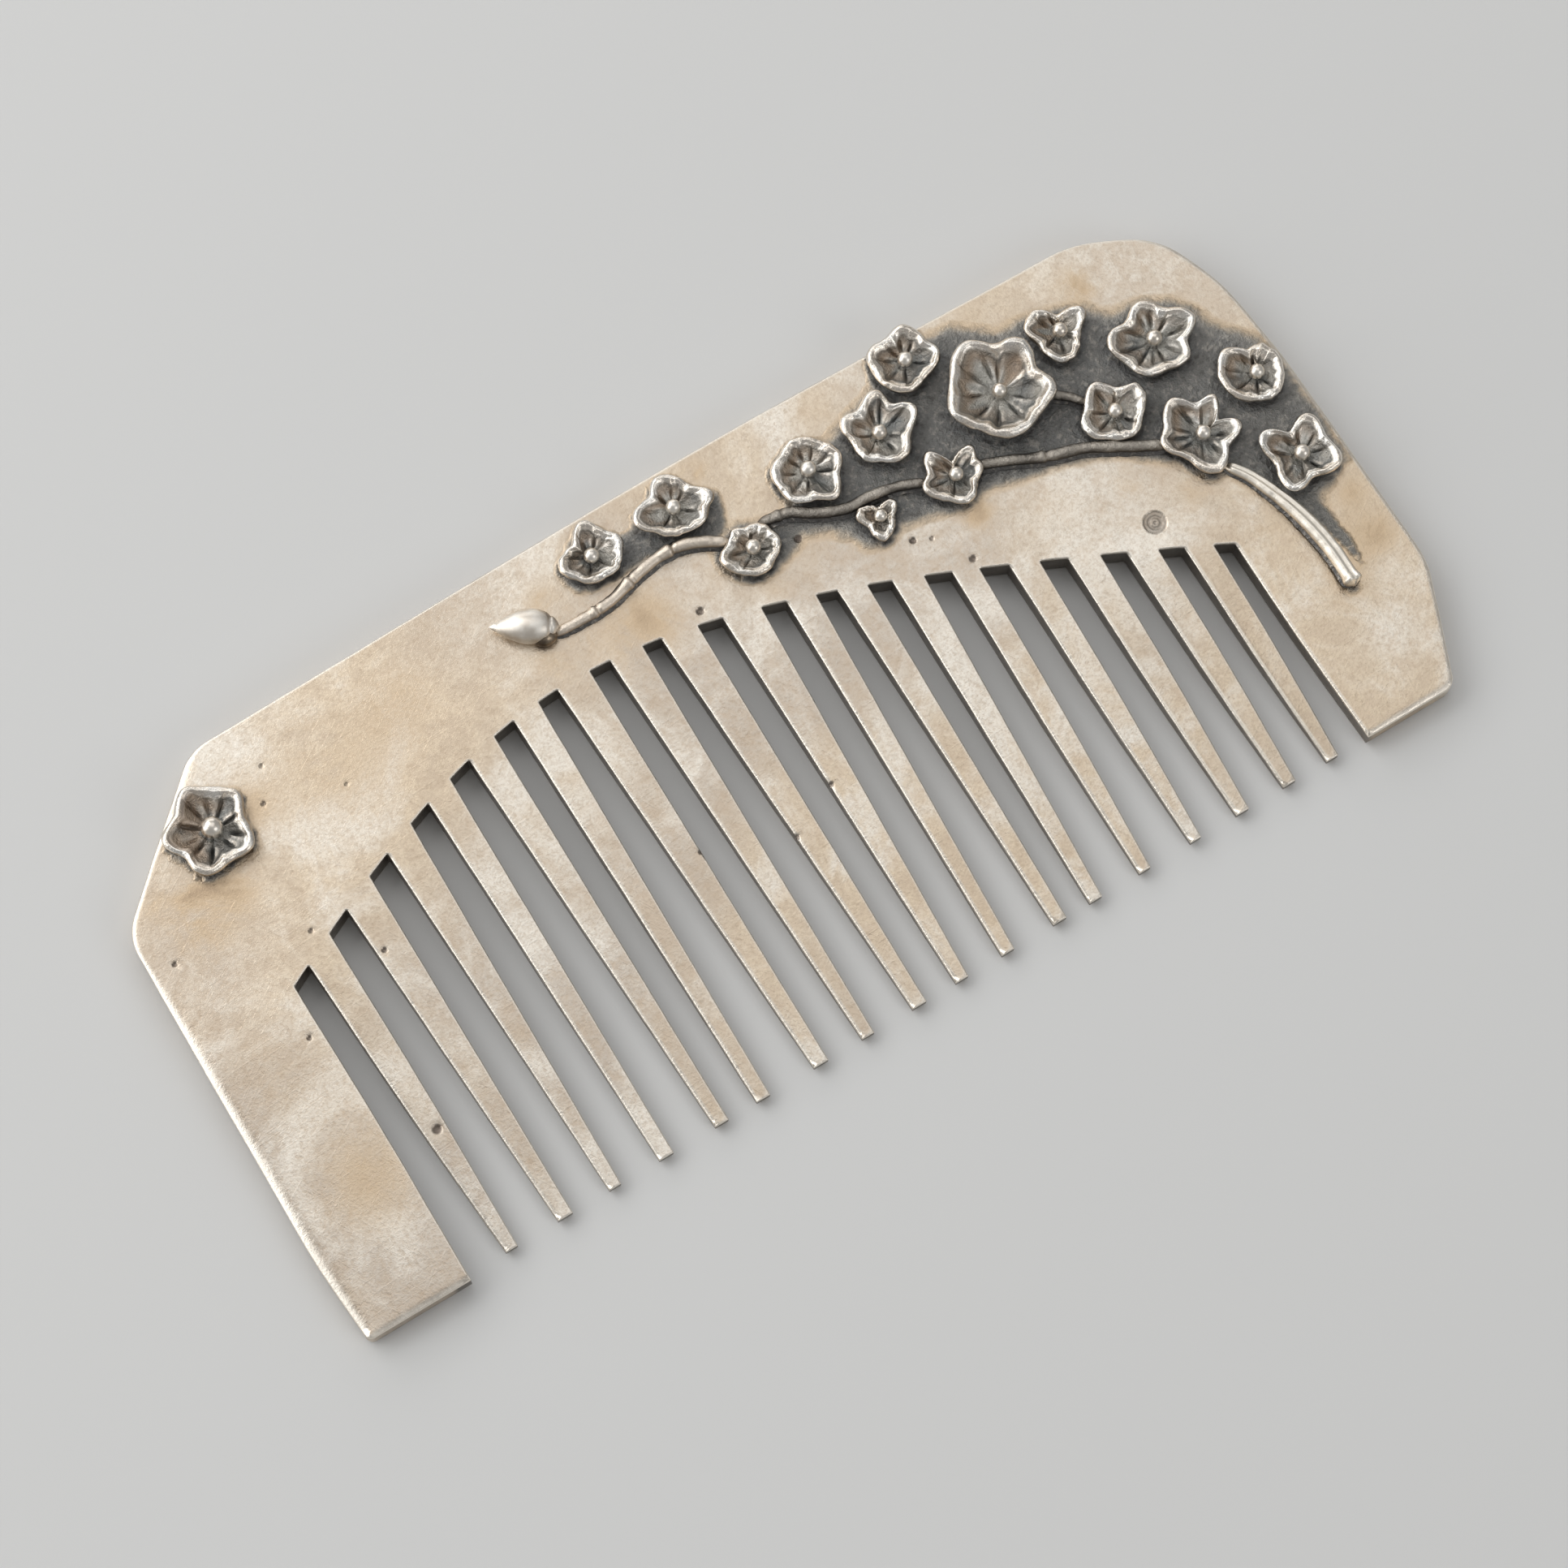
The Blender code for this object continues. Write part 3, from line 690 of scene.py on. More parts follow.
def cad_cup(number):
    """A CAD blossom as its centre, and its reach, rim height and foot radius all round."""
    centre = sum(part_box(bead_name(number)), Vector()) / 2 / MM
    shape = cad_solid(blossom_name(number))
    reach, rim, foot = np.zeros((3, DIRECTIONS))
    base = min(vert.co.z for vert in shape.verts)
    for vert in shape.verts:
        away = vert.co - centre
        distance = math.hypot(away.x, away.y)
        if distance < 0.05:
            continue
        place = round(math.degrees(math.atan2(away.y, away.x)) * DIRECTIONS / 360) % DIRECTIONS
        reach[place] = max(reach[place], distance)
        rim[place] = max(rim[place], vert.co.z)
        if vert.co.z < base + 0.01:
            foot[place] = max(foot[place], distance)
    shape.free()
    return centre, reach, rim, foot


CAD_CUPS = {number: cad_cup(number) for number in BLOSSOMS}


# By number: bowl's steepness, groove depth, groove angles, rim thickness, then (angle, extra
# thickness, half width) where the rim is thicker, and (angle, height, half width) where the bowl is
# folded up. Angles are in degrees.
CUPS = {
    1: (1.6, 0.32, (-1, 44, 75, 103, 143, 180, 205, 238, 287, 319), 0.56, (), ((20, -0.12, 30),)),
    2: (1.5, 0.2, (20, 52, 95, 150, 200, 235, 300), 0.44, ((170, 0.12, 30),), ((35, 0.2, 24),)),
    3: (1.5, 0.2, (30, 65, 110, 160, 215, 265, 320), 0.44, ((350, 0.2, 25),), ((90, 0.2, 30),)),
    4: (1.5, 0.18, (20, 70, 120, 165, 215, 280, 330), 0.42, ((170, 0.15, 25),), ((95, 0.2, 22),)),
    5: (1.7, 0.24, (8, 52, 84, 118, 160, 205, 240, 284, 328), 0.44, (), ()),
    6: (1.6, 0.2, (15, 60, 80, 125, 160, 215, 280, 320), 0.46, (), ((40, 0.2, 18), (140, 0.2, 22))),
    7: (1.8, 0.26, (40, 75, 115, 150, 200, 240, 320), 0.46, ((90, 0.2, 40),), ((95, 0.2, 18),)),
    8: (
        2.4, 0.24, (62, 84, 118, 158, 200, 236, 276, 318), 0.66,
        ((41, 0.6, 14), (334, 0.35, 24), (240, 0.15, 50)), ((8, 0.4, 9),),
    ),
    9: (1.5, 0.2, (20, 60, 100, 130, 180, 235, 290), 0.42, ((110, 0.15, 25),), ((40, 0.25, 25),)),
    10: (1.3, 0.12, (0, 110, 200, 290), 0.36, (), ()),
    11: (1.6, 0.24, (70, 95, 120, 200, 250, 300), 0.46, ((25, 0.3, 30),), ((20, 0.2, 22),)),
    12: (
        1.7, 0.28, (-8, 30, 66, 92, 130, 172, 208, 236, 262, 300), 0.46, ((35, 0.15, 25),), ((14, 0.25, 14),),
    ),
    13: (1.6, 0.22, (60, 100, 150, 200, 250, 300), 0.46, ((25, 0.35, 30),), ((65, 0.2, 20), (110, 0.15, 20))),
    14: (1.7, 0.28, (20, 62, 100, 138, 160, 185, 240, 280, 330), 0.44, (), ((80, 0.2, 14),)),
    15: (1.6, 0.24, (75, 100, 140, 190, 240, 285), 0.44, ((45, 0.35, 28),), ((60, 0.3, 16),)),
    16: (1.7, 0.24, (25, 70, 105, 145, 205, 245, 290, 340), 0.44, (), ((50, 0.2, 18),)),
}
# Rings of the bowl from the rim inwards, as shares of the rim's crest.
BOWL = (
    0.98, 0.96, 0.94, 0.915, 0.89, 0.86, 0.83, 0.79, 0.75, 0.7, 0.65, 0.6, 0.55, 0.5, 0.45, 0.4, 0.34,
    0.28, 0.22, 0.16, 0.09,
)
LIP_HEIGHT = 0.9  # how far the rim stands above the bowl, as a share of half the rim's width
LIP_WIDTH = 1.15


def apart_from(angles, angle):
    """Degrees between directions and one angle, from -180 to 180."""
    return (np.degrees(angles) - angle + 180) % 360 - 180


def facet_tilts(angles, grooves, pick):
    """How each facet between neighbouring grooves leans, from -0.5 to 0.5 across it, and bulges."""
    tilt, bulge = np.zeros(len(angles)), np.zeros(len(angles))
    for start, end in zip(grooves, grooves[1:] + [grooves[0] + 360]):
        lean = pick.choice((-1, 1)) * pick.uniform(0.4, 1.0)
        share = ((np.degrees(angles) - start) % 360) / (end - start)
        tilt = np.where(share < 1, lean * (share - 0.5), tilt)
        bulge = np.where(share < 1, 4 * share * (1 - share), bulge)
    return tilt, bulge


def build_blossom(number):
    centre, *outlines = CAD_CUPS[number]
    steepness, groove_depth, grooves, thickness, thicker, folds = CUPS[number]
    pick = random.Random(number)
    angles = np.arange(STEPS) * math.tau / STEPS

    def spread_out(radius):
        level = np.full(STEPS, 7.0 * number)
        return np.column_stack([radius * np.cos(angles), radius * np.sin(angles), level])

    circle = spread_out(3)
    reach, rim, foot = (around(values, STEPS) for values in outlines)
    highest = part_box(blossom_name(number))[1].z / MM - SINK
    reach = reach - 0.07 + 0.09 * rough(circle, 0.9, 6) + 0.02 * rough(circle, 0.4, 14)
    rim = rim - 0.12 + 0.13 * rough(circle, 1.1, 12) + 0.02 * rough(circle, 0.4, 15)
    tube_width = np.full(STEPS, thickness + 0.26)
    for angle, extra, half_width in thicker:
        swollen = bell(apart_from(angles, angle), half_width)
        tube_width += extra * swollen
        rim += 0.4 * extra * swollen
    rim = np.minimum(rim, highest)
    tube_width *= 1 + 0.42 * rough(circle, 0.9, 7) + 0.08 * rough(circle, 0.4, 16)
    base = SHEET_TOP + SEAM
    half = tube_width / 2
    floor = base + 0.28 * (np.mean(rim) - base)
    cuts = [
        (
            math.radians(angle), pick.uniform(0.26, 0.4), pick.uniform(0.78, 0.98), pick.uniform(0.6, 1.15),
            pick.choice((-1, 1)),
        )
        for angle in grooves
    ]
    tilt, bulge = facet_tilts(angles, sorted(angle % 360 for angle in grooves), pick)
    pocket = np.zeros(STEPS)
    for angle, extra, half_width in thicker:
        if extra > 0.45:
            pocket = bell(apart_from(angles, angle - 12), half_width)

    rows, wear_and_light, warm = [], [], []

    def add_row(radius, height, worn_and_lit, browned=0.0):
        x, y = centre.x + radius * np.cos(angles), centre.y + radius * np.sin(angles)
        rows.append(np.column_stack([x, y, height]))
        wear_and_light.append(np.broadcast_to(worn_and_lit, STEPS))
        warm.append(np.broadcast_to(browned, STEPS))

    add_row(foot * 1.05, np.full(STEPS, base - SEAM), 0.0)
    # The outer wall is painted darker towards the foot, as painted shade under the rim.
    for share in (0.0, 0.2, 0.45, 0.7, 0.88):
        add_row(foot + (reach - foot) * share**0.7, base + (rim - half - base) * share, 0.5 * share**3, 0.5)
    crest = reach - half
    for turn in (0, 20, 40, 60, 75, 90):
        bend = math.radians(turn)
        height = rim - half + half * math.sin(bend)
        add_row(crest + half * math.cos(bend), height, 0.7 + 0.3 * turn / 90, 0.3 - turn / 300)
    browner = 0.55 + 0.45 * np.cos(angles - math.radians(125))
    for share in BOWL:
        radius = crest * share
        within = (crest - radius) / half
        lip = bell(within, LIP_WIDTH)
        height = floor + (rim - LIP_HEIGHT * half - floor) * share**steepness + LIP_HEIGHT * half * lip
        cut, lit = np.zeros(STEPS), np.zeros(STEPS)
        for angle, start, end, strength, bright_side in cuts:
            apart = angles - angle
            facing = np.cos(apart) > 0
            sideways = radius * np.sin(apart)
            window = min(max((share - start) / 0.12, 0), 1) * min(max((end - share) / 0.2, 0), 1)
            width = 0.045 + 0.045 * radius * (0.4 + 0.6 * window)
            cut = np.maximum(cut, strength * window * facing * np.exp(-np.abs(sideways / width) ** 1.5))
            # lit: a painted highlight along one flank of each groove; the groove itself is painted darker, as
            # painted shade.
            beside = bell(sideways * bright_side - 2.4 * width, 1.3 * width)
            lit = np.maximum(lit, strength * window * facing * beside)
        fold = np.zeros(STEPS)
        for angle, lift, half_width in folds:
            fold += lift * np.clip(1 - np.abs(apart_from(angles, angle)) / half_width, 0, 1)
        places = spread_out(radius)
        uneven = 0.06 * rough(places, 0.7, 13) + 0.03 * rough(places, 0.3, 17)
        loose = min(1, 4 * share) * (1 - lip)
        height = height - groove_depth * cut + 0.2 * groove_depth * lit
        facet = 0.46 * tilt + 0.5 * groove_depth * bulge
        height = height + (fold * 1.6 * share * (1 - share) + uneven + facet * share) * loose
        height = np.maximum(height - 0.5 * pocket * share**2 * (1 - lip), base + 0.1)
        # Painted light and shade in the bowl: painted highlights on leaning facets, raised folds and lit
        # groove flanks; painted shade in the grooves, the pocket and a ring round the bead's foot.
        worn_and_lit = 0.22 + 0.14 * bulge + 0.4 * lit * share - 0.3 * cut + 1.6 * np.clip(fold, 0, 1) * share
        worn_and_lit = worn_and_lit + 0.6 * np.clip(tilt, 0, 1) * share - 0.3 * pocket * share
        worn_and_lit = worn_and_lit - 0.25 * bell(radius - 0.62, 0.22)
        # The rim is rubbed bright by wear.
        worn_and_lit = np.maximum(worn_and_lit * (1 - lip), lip)
        brown = browner * bell(within - 2.2, 1.3) + pocket * (1 - lip)
        if number == BROWNED:
            brown = brown + np.clip(np.cos(angles - math.radians(160)), 0, 1) * (share > 0.3)
        add_row(radius, height, worn_and_lit, brown)
    verts = np.concatenate([*rows, [[centre.x, centre.y, base - SEAM], [centre.x, centre.y, floor]]])
    name, faces = blossom_name(number), ring_faces(len(rows), STEPS)
    piece = add_piece(name + "_cup", verts, faces, LOOKS["blossom"], [name])
    store(piece, "wear_and_light", np.concatenate([*wear_and_light, [0, 0]]))
    store(piece, "warm", np.concatenate([*warm, [0, 0]]))
    build_bead(number, centre)
    build_collar(number, centre, foot)


def build_bead(number, centre):
    """A polished bead."""
    low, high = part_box(bead_name(number))
    radius = (high.z - low.z) / 2 / MM
    steps, rows = 40, []
    slopes = np.radians(range(-75, 76, 15))
    for slope in slopes:
        rows += ring(centre, radius * math.cos(slope), centre.z + radius * math.sin(slope), steps)
    rows += [(centre.x, centre.y, centre.z - radius), (centre.x, centre.y, centre.z + radius)]
    name, faces = bead_name(number), ring_faces(len(slopes), steps)
    add_piece(name + "_ball", rows, faces, LOOKS["polished"], [name])


def build_collar(number, centre, foot):
    """The solder that ran out around a blossom's foot."""
    steps, rows = 72, []
    grains = rough(ring(Vector((0, 0)), 2, number, steps), 0.45, 9)
    inner = foot[[int(step * STEPS / steps) for step in range(steps)]]
    section = ((1.5, -SINK), (1.4, 0.04), (1.25, 0.1), (1.1, 0.2), (0.9, 0.28))
    for spread, height in section:
        rows += ring(centre, inner * spread * (1 + 0.08 * grains), SHEET_TOP + height, steps)
    rows += [(centre.x, centre.y, SHEET_TOP + height) for height in (-SINK, 0.2)]
    faces = ring_faces(len(section), steps)
    add_piece(f"solder_{number:02d}", rows, faces, LOOKS["solder"])


# ---- bud

def build_almond(name, node, point, creases, look, fuller=1.0, shift=0.0):
    """A smooth almond between the CAD node's ends, creased across at (share, depth) of its length.

    It is made this much fuller than the CAD's, and moved sideways.
    """
    shape = cad_solid(node)
    points = [vert.co.copy() for vert in shape.verts]
    shape.free()
    first = max(points, key=lambda spot: (spot - points[0]).length)
    last = max(points, key=lambda spot: (spot - first).length)
    tip, base = (first, last) if first.x < last.x else (last, first)
    axis = (tip - base).xy
    side = Vector((-axis.y, axis.x)).normalized()
    low, high = min(spot.z for spot in points), max(spot.z for spot in points)
    half = fuller * max(abs((spot - base).xy.dot(side)) for spot in points)
    high = low + (high - low) * math.sqrt(fuller)
    tip, base = tip.xy + side * shift, base.xy + side * shift
    shares = np.linspace(0.01, 0.99, 45)
    swells = {share: math.sin(math.pi * share) ** 0.6 * (1 - share) ** point for share in shares}
    fullest = max(swells.values())
    sides, rows = 40, []
    for share, swell in swells.items():
        nick = 1 - sum(depth * bell(share - place, 0.022) for place, depth in creases)
        for step in range(sides):
            angle = math.tau * step / sides
            lift = (max(math.sin(angle) * swell / fullest, -0.6) + 0.6) / 1.6
            across = math.cos(angle) * half * swell / fullest * nick
            spot = base + axis * share + side * across
            height = low + lift * (high - low) * (nick if math.sin(angle) > 0 else 1)
            rows.append((spot.x, spot.y, height))
    rows += [(end.x, end.y, low + 0.375 * (high - low)) for end in (base, tip)]
    add_piece(name, rows, ring_faces(len(swells), sides), look, [node])


# ---- looks

CREAM = (0.78, 0.65, 0.49)
PALE = (0.9, 0.84, 0.745)
PINKISH = (0.65, 0.575, 0.49)
TAN = (0.56, 0.45, 0.34)
GOLD = (0.62, 0.47, 0.31)
BROWN = (0.42, 0.31, 0.21)
GREY = (0.32, 0.31, 0.285)
DARK_GREY = (0.185, 0.187, 0.185)
SPECKLE = (0.43, 0.405, 0.365)
# Painted contact shadow beside the applied pieces.
HOLLOW = (0.075, 0.068, 0.06)
CONTACT_SHADOW = (0.06, 0.053, 0.047)
# Painted shade on the slot walls.
WALL_SHADE = (0.13, 0.115, 0.1)
DARK = (0.15, 0.12, 0.1)


class Look:
    """A silver material, with short names for the few kinds of node that it is made of."""

    def __init__(self, name):
        self.material = bpy.data.materials.new(name)
        self.material.use_nodes = True
        self.tree = self.material.node_tree
        self.shader = self.tree.nodes["Principled BSDF"]
        self.shader.inputs["Metallic"].default_value = 1.0
        self.place = self.node("TexCoord").outputs["Object"]

    def node(self, kind):
        return self.tree.nodes.new("ShaderNode" + kind)

    def join(self, value, socket):
        if isinstance(value, (int, float)):
            socket.default_value = value
        elif isinstance(value, tuple):
            socket.default_value = (*value, 1.0)
        else:
            self.tree.links.new(value, socket)

    def finish(self, colour, roughness, normal):
        for name, value in (("Base Color", colour), ("Roughness", roughness), ("Normal", normal)):
            self.join(value, self.shader.inputs[name])
        return self.material

    def attribute(self, name):
        node = self.node("Attribute")
        node.attribute_name = name
        return node.outputs["Fac"]

    def stretch(self, scale, turn):
        """Places for a noise that is drawn out, and turned this many degrees."""
        node = self.node("Mapping")
        node.vector_type = "TEXTURE"
        node.inputs["Scale"].default_value = [1 / value for value in scale]
        node.inputs["Rotation"].default_value = (0, 0, math.radians(turn))
        self.join(self.place, node.inputs["Vector"])
        return node.outputs["Vector"]

    def noise(self, scale, detail, rough, place=None, warp=0.0):
        node = self.node("TexNoise")
        values = (("Scale", scale), ("Detail", detail), ("Roughness", rough), ("Distortion", warp))
        for name, value in (*values, ("Vector", place or self.place)):
            self.join(value, node.inputs[name])
        return node.outputs["Fac"]

    def math(self, kind, a, b, clamp=False):
        node = self.node("Math")
        node.operation = kind
        node.use_clamp = clamp
        self.join(a, node.inputs[0])
        self.join(b, node.inputs[1])
        return node.outputs[0]

    def plus(self, a, b):
        return self.math("ADD", a, b)

    def times(self, a, b, clamp=False):
        return self.math("MULTIPLY", a, b, clamp)

    def swing(self, noise, size):
        """The noise brought to vary about nought."""
        return self.times(self.math("SUBTRACT", noise, 0.5), size)

    def between(self, value, low, high, to_low=0.0, to_high=1.0):
        node = self.node("MapRange")
        node.interpolation_type = "SMOOTHSTEP"
        ends = (("From Min", low), ("From Max", high), ("To Min", to_low), ("To Max", to_high))
        for name, number in (("Value", value), *ends):
            self.join(number, node.inputs[name])
        return node.outputs["Result"]

    def mix(self, share, a, b):
        node = self.node("Mix")
        node.data_type = "RGBA"
        for name, value in (("Factor", share), ("A", a), ("B", b)):
            self.join(value, node.inputs[name])
        return node.outputs["Result"]

    def bump(self, height, strength, distance, normal=None):
        node = self.node("Bump")
        for name, value in (("Strength", strength), ("Distance", distance), ("Height", height)):
            self.join(value, node.inputs[name])
        if normal is not None:
            self.join(normal, node.inputs["Normal"])
        return node.outputs["Normal"]


def sheet_look():
    """Rubbed cream silver, stained, and left dark and sandy around the blossoms, with a painted contact
    shadow beside the pieces, painted shade on the slot walls and a painted highlight along the edges.
    """
    g = Look("silver_sheet")
    clouds = g.noise(110, 6, 0.65, warp=0.6)
    broad = g.noise(32, 4, 0.55)
    fine = g.noise(900, 3, 0.65)
    grain = g.noise(4500, 2, 0.7)
    mottle = g.plus(g.times(fine, 0.5), g.times(clouds, 0.5))
    colour = g.mix(g.between(broad, 0.38, 0.62), PINKISH, CREAM)
    colour = g.mix(g.between(clouds, 0.45, 0.68), colour, PALE)
    colour = g.mix(g.times(g.attribute("pale"), 0.8), colour, PALE)
    colour = g.mix(g.between(mottle, 0.56, 0.38, 0, 0.6), colour, TAN)
    colour = g.mix(g.between(g.noise(2200, 4, 0.7), 0.5, 0.34, 0, 0.3), colour, BROWN)
    colour = g.mix(g.between(grain, 0.56, 0.36, 0, 0.35), colour, TAN)

    stain = g.times(g.attribute("stain"), g.between(clouds, 0.28, 0.6))
    colour = g.mix(g.between(stain, 0.1, 0.8, 0, 0.9), colour, GOLD)
    colour = g.mix(g.between(stain, 0.6, 1.0, 0, 0.7), colour, BROWN)

    patina, close = g.attribute("patina"), g.attribute("close")
    wisps = g.noise(1.0, 4, 0.6, g.stretch((170, 520, 170), -12), 0.5)
    shade = g.plus(g.plus(patina, g.swing(wisps, 0.7)), g.swing(fine, 0.45))
    present = g.between(patina, 0.02, 0.25)
    shade = g.times(shade, present)
    colour = g.mix(g.between(shade, 0.05, 0.45, 0, 0.75), colour, GOLD)
    colour = g.mix(g.between(shade, 0.25, 0.75, 0, 0.95), colour, GREY)
    # close also deepens the dark grey here, as painted shade beside the pieces.
    dark = g.plus(g.between(shade, 0.5, 1.05, 0, 0.8), g.times(close, 0.45))
    thin = g.between(g.plus(broad, g.times(fine, 0.6)), 0.65, 0.95, 1.0, 0.72)
    colour = g.mix(g.times(g.times(dark, thin), present, True), colour, DARK_GREY)
    sand = g.noise(1700, 5, 0.72)
    speckled = g.times(g.between(sand, 0.5, 0.66), g.between(shade, 0.5, 0.9, 0, 0.75))
    colour = g.mix(speckled, colour, SPECKLE)
    hollow = g.times(g.between(sand, 0.46, 0.33), g.between(shade, 0.4, 0.8, 0, 0.45))
    colour = g.mix(hollow, colour, HOLLOW)
    # Painted contact shadow close beside the blossoms and wires.
    colour = g.mix(g.between(close, 0.35, 1.0, 0, 0.75), colour, CONTACT_SHADOW)

    # Painted highlight and rubbed wear along the front's edges.
    colour = g.mix(g.times(g.between(g.attribute("edge"), 0.1, 0.7), 0.85), colour, PALE)
    # Painted shade on the slot walls.
    colour = g.mix(g.times(g.attribute("wall"), 0.85), colour, WALL_SHADE)
    colour = g.mix(g.attribute("pit"), colour, DARK)
    roughness = g.plus(g.between(fine, 0.3, 0.7, 0.3, 0.42), g.between(shade, 0.4, 1.0, 0.0, 0.12))

    scratches = 0.0
    for length, turn in ((160, 33), (190, -61), (120, 4), (240, 82)):
        lines = g.noise(1.0, 1, 0.5, g.stretch((length, 5200, 1), turn))
        scratches = g.plus(scratches, g.between(lines, 0.62, 0.72))
    normal = g.bump(scratches, 0.13, 0.00003)
    normal = g.bump(grain, 0.6, 0.00004, normal)
    normal = g.bump(fine, 0.2, 0.00008, normal)
    normal = g.bump(g.times(sand, g.between(shade, 0.2, 0.9)), 0.8, 0.0003, normal)
    return g.finish(colour, roughness, normal)


def blossom_look():
    """Dark grained cups with rubbed rims, and painted highlights and painted shade in the bowls and at the
    foot.
    """
    g = Look("silver_blossom")
    fine = g.noise(2600, 4, 0.65)
    grain = g.noise(9000, 2, 0.7)
    clouds = g.noise(450, 3, 0.5)
    wear_and_light = g.plus(g.attribute("wear_and_light"), g.swing(fine, 0.5))
    dark = g.mix(g.between(clouds, 0.35, 0.65), (0.215, 0.222, 0.216), (0.46, 0.448, 0.41))
    bright = g.mix(g.between(clouds, 0.4, 0.66), (0.93, 0.85, 0.745), (1.0, 0.97, 0.91))
    warm = g.times(g.attribute("warm"), g.between(clouds, 0.2, 0.55))
    colour = g.mix(g.between(wear_and_light, 0.3, 0.8), dark, bright)
    colour = g.mix(g.times(warm, 0.75), colour, (0.4, 0.29, 0.2))
    # Near-black where the value is lowest: painted shade in the grooves, at the foot and round the bead.
    colour = g.mix(g.between(wear_and_light, -0.05, 0.14, 0.8, 0), colour, (0.08, 0.078, 0.075))
    colour = g.mix(g.between(grain, 0.55, 0.35, 0, 0.3), colour, (0.2, 0.18, 0.16))
    sheltered = g.between(wear_and_light, 0.35, 0.9, 1.0, 0.3)
    normal = g.bump(g.times(fine, sheltered), 0.8, 0.0002)
    normal = g.bump(g.times(grain, sheltered), 0.8, 0.00007, normal)
    return g.finish(colour, g.between(wear_and_light, 0.2, 0.9, 0.42, 0.22), normal)


def wire_look(name, dark, light, low, high, sand):
    """A wire painted dark below and light above, as painted shade and light; sand is the strength of its
    grain.
    """
    g = Look(name)
    fine = g.noise(2600, 4, 0.65)
    worn_and_lit = g.plus(g.attribute("wear_and_light"), g.swing(g.noise(500, 3, 0.6), 0.8))
    normal = g.bump(g.noise(8000, 2, 0.7), sand, 0.00007, g.bump(fine, sand, 0.00022))
    colour = g.mix(g.between(worn_and_lit, low, high), dark, light)
    return g.finish(colour, g.between(fine, 0.2, 0.9, 0.48, 0.32), normal)


def solder_look():
    g = Look("silver_solder")
    fine = g.noise(2200, 3, 0.65)
    colour = g.mix(g.between(fine, 0.5, 0.75), (0.15, 0.145, 0.14), (0.36, 0.33, 0.29))
    return g.finish(colour, g.between(fine, 0.4, 0.7, 0.5, 0.35), g.bump(fine, 0.8, 0.0002))


def polished_look(name, duller):
    g = Look(name)
    fine = g.noise(800, 3, 0.6)
    colour = g.mix(g.between(fine, 0.35, 0.7), (0.8, 0.73, 0.64), (0.94, 0.9, 0.83))
    normal = g.bump(g.noise(5500, 2, 0.7), 0.25, 0.00001, g.bump(fine, 0.1, 0.00004))
    return g.finish(colour, g.between(fine, 0.3, 0.7, 0.27 + duller, 0.36 + duller), normal)


# The bud's lobe is painted dark brown, as painted shade on a fold that faces away from the light.
def shaded_lobe_look():
    g = Look("silver_shaded_lobe")
    fine = g.noise(900, 3, 0.6)
    colour = g.mix(g.between(fine, 0.35, 0.7), (0.13, 0.1, 0.075), (0.42, 0.34, 0.25))
    return g.finish(colour, g.between(fine, 0.3, 0.7, 0.4, 0.28), g.bump(fine, 0.3, 0.00005))


LOOKS = {
    "sheet": sheet_look(),
    "blossom": blossom_look(),
    "solder": solder_look(),
    "wire": wire_look("silver_wire", (0.08, 0.072, 0.064), (0.52, 0.475, 0.415), 0.6, 1.2, 0.8),
    "stem": wire_look("silver_stem", (0.26, 0.22, 0.18), (0.92, 0.86, 0.76), 0.25, 0.85, 0.12),
    "tip": wire_look("silver_tip", (0.24, 0.21, 0.18), (0.78, 0.69, 0.585), 0.4, 0.95, 0.3),
    "polished": polished_look("silver_polished", 0.0),
    "bud": polished_look("silver_bud", 0.12),
    "dark": shaded_lobe_look(),
}


# ---- stage, light and camera

FLOOR_HALF = 3  # metres
FLOOR_GAP = 0.0002
CAMERA_PLACE = (-49.94, -82.86, 350.91)
CAMERA_TARGET = (-1.41, -3.14, 2.6)
# Soft boxes aimed at the comb: place and size in metres, and power.
LIGHTS = {
    "overhead": ((0.21, 0.22, 0.95), (0.8, 0.8), 1.45),
    "key": ((-0.3, 0.5, 0.5), (0.6, 0.6), 2.2),
    "side": ((-0.65, 0.22, 0.24), (0.4, 0.8), 1.7),
    "far": ((0.2, 0.7, 0.25), (0.8, 0.35), 1.0),
    "fill": ((0.3, -0.6, 0.5), (0.4, 0.4), 0.8),
}


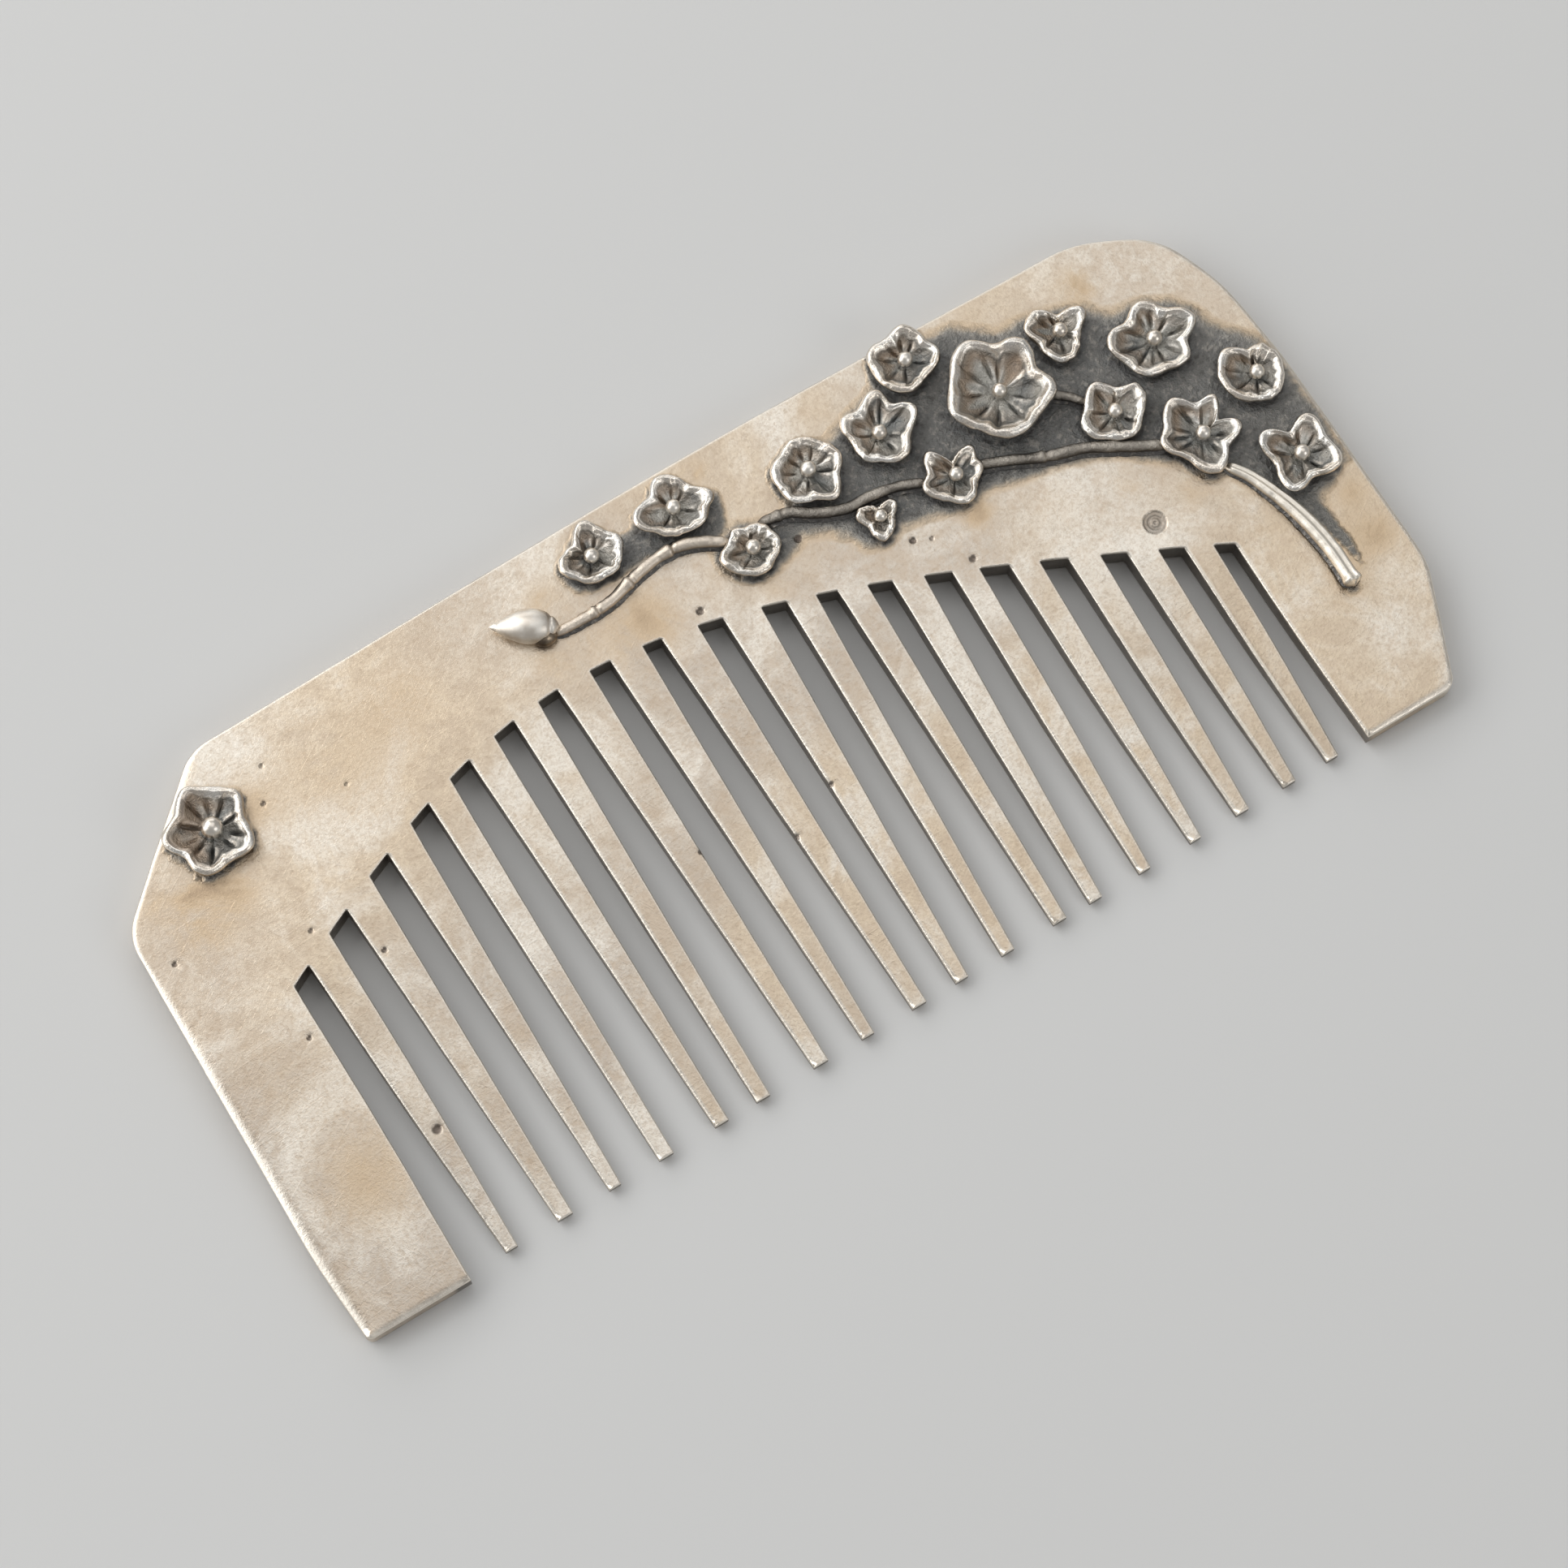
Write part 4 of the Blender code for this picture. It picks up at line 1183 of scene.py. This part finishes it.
def placed(name, data, place, target):
    """A light or camera at a place, turned to look at a target."""
    thing = bpy.data.objects.new(name, data)
    thing.location = place
    thing.rotation_euler = (Vector(target) - Vector(place)).to_track_quat("-Z", "Y").to_euler()
    bpy.context.scene.collection.objects.link(thing)
    return thing


def build_floor():
    mesh = bpy.data.meshes.new("floor")
    corners = [(x * FLOOR_HALF, y * FLOOR_HALF, 0) for x, y in ((-1, -1), (1, -1), (1, 1), (-1, 1))]
    mesh.from_pydata(corners, [], [(0, 1, 2, 3)])
    paper = bpy.data.materials.new("floor_paper")
    paper.use_nodes = True
    shader = paper.node_tree.nodes["Principled BSDF"]
    shader.inputs["Base Color"].default_value = (0.7, 0.7, 0.69, 1)
    shader.inputs["Roughness"].default_value = 0.9
    mesh.materials.append(paper)
    floor = bpy.data.objects.new("floor", mesh)
    floor.location.z = BOUNDS[0][2] - FLOOR_GAP
    bpy.context.scene.collection.objects.link(floor)


def build_light():
    world = bpy.data.worlds.new("studio")
    bpy.context.scene.world = world
    world.use_nodes = True
    back = world.node_tree.nodes["Background"]
    back.inputs["Color"].default_value = (1, 1, 1, 1)
    back.inputs["Strength"].default_value = 0.32
    for name, (place, size, power) in LIGHTS.items():
        light = bpy.data.lights.new(name, "AREA")
        light.shape = "RECTANGLE"
        light.size, light.size_y = size
        light.energy = power
        placed(name, light, place, (0, 0, 0))


def build_camera():
    camera = bpy.data.cameras.new("camera")
    camera.lens = 111.8
    camera.sensor_width = 36
    camera.clip_start = 0.01
    place, target = Vector(CAMERA_PLACE) * MM, Vector(CAMERA_TARGET) * MM
    bpy.context.scene.camera = placed("camera", camera, place, target)
    bpy.context.scene.view_settings.view_transform = "Standard"


build_plate()
build_wires()
for number in BLOSSOMS:
    build_blossom(number)
build_almond("bud_shell", "bud", 0.35, ((0.12, 0.12), (0.9, 0.04)), LOOKS["bud"])
# The lobe takes the dark look, which is painted shade.
build_almond("bud_lobe", "bud_sepal", 0.2, (), LOOKS["dark"], 2.1, -0.85)
build_floor()
build_light()
build_camera()

bpy.context.view_layer.update()
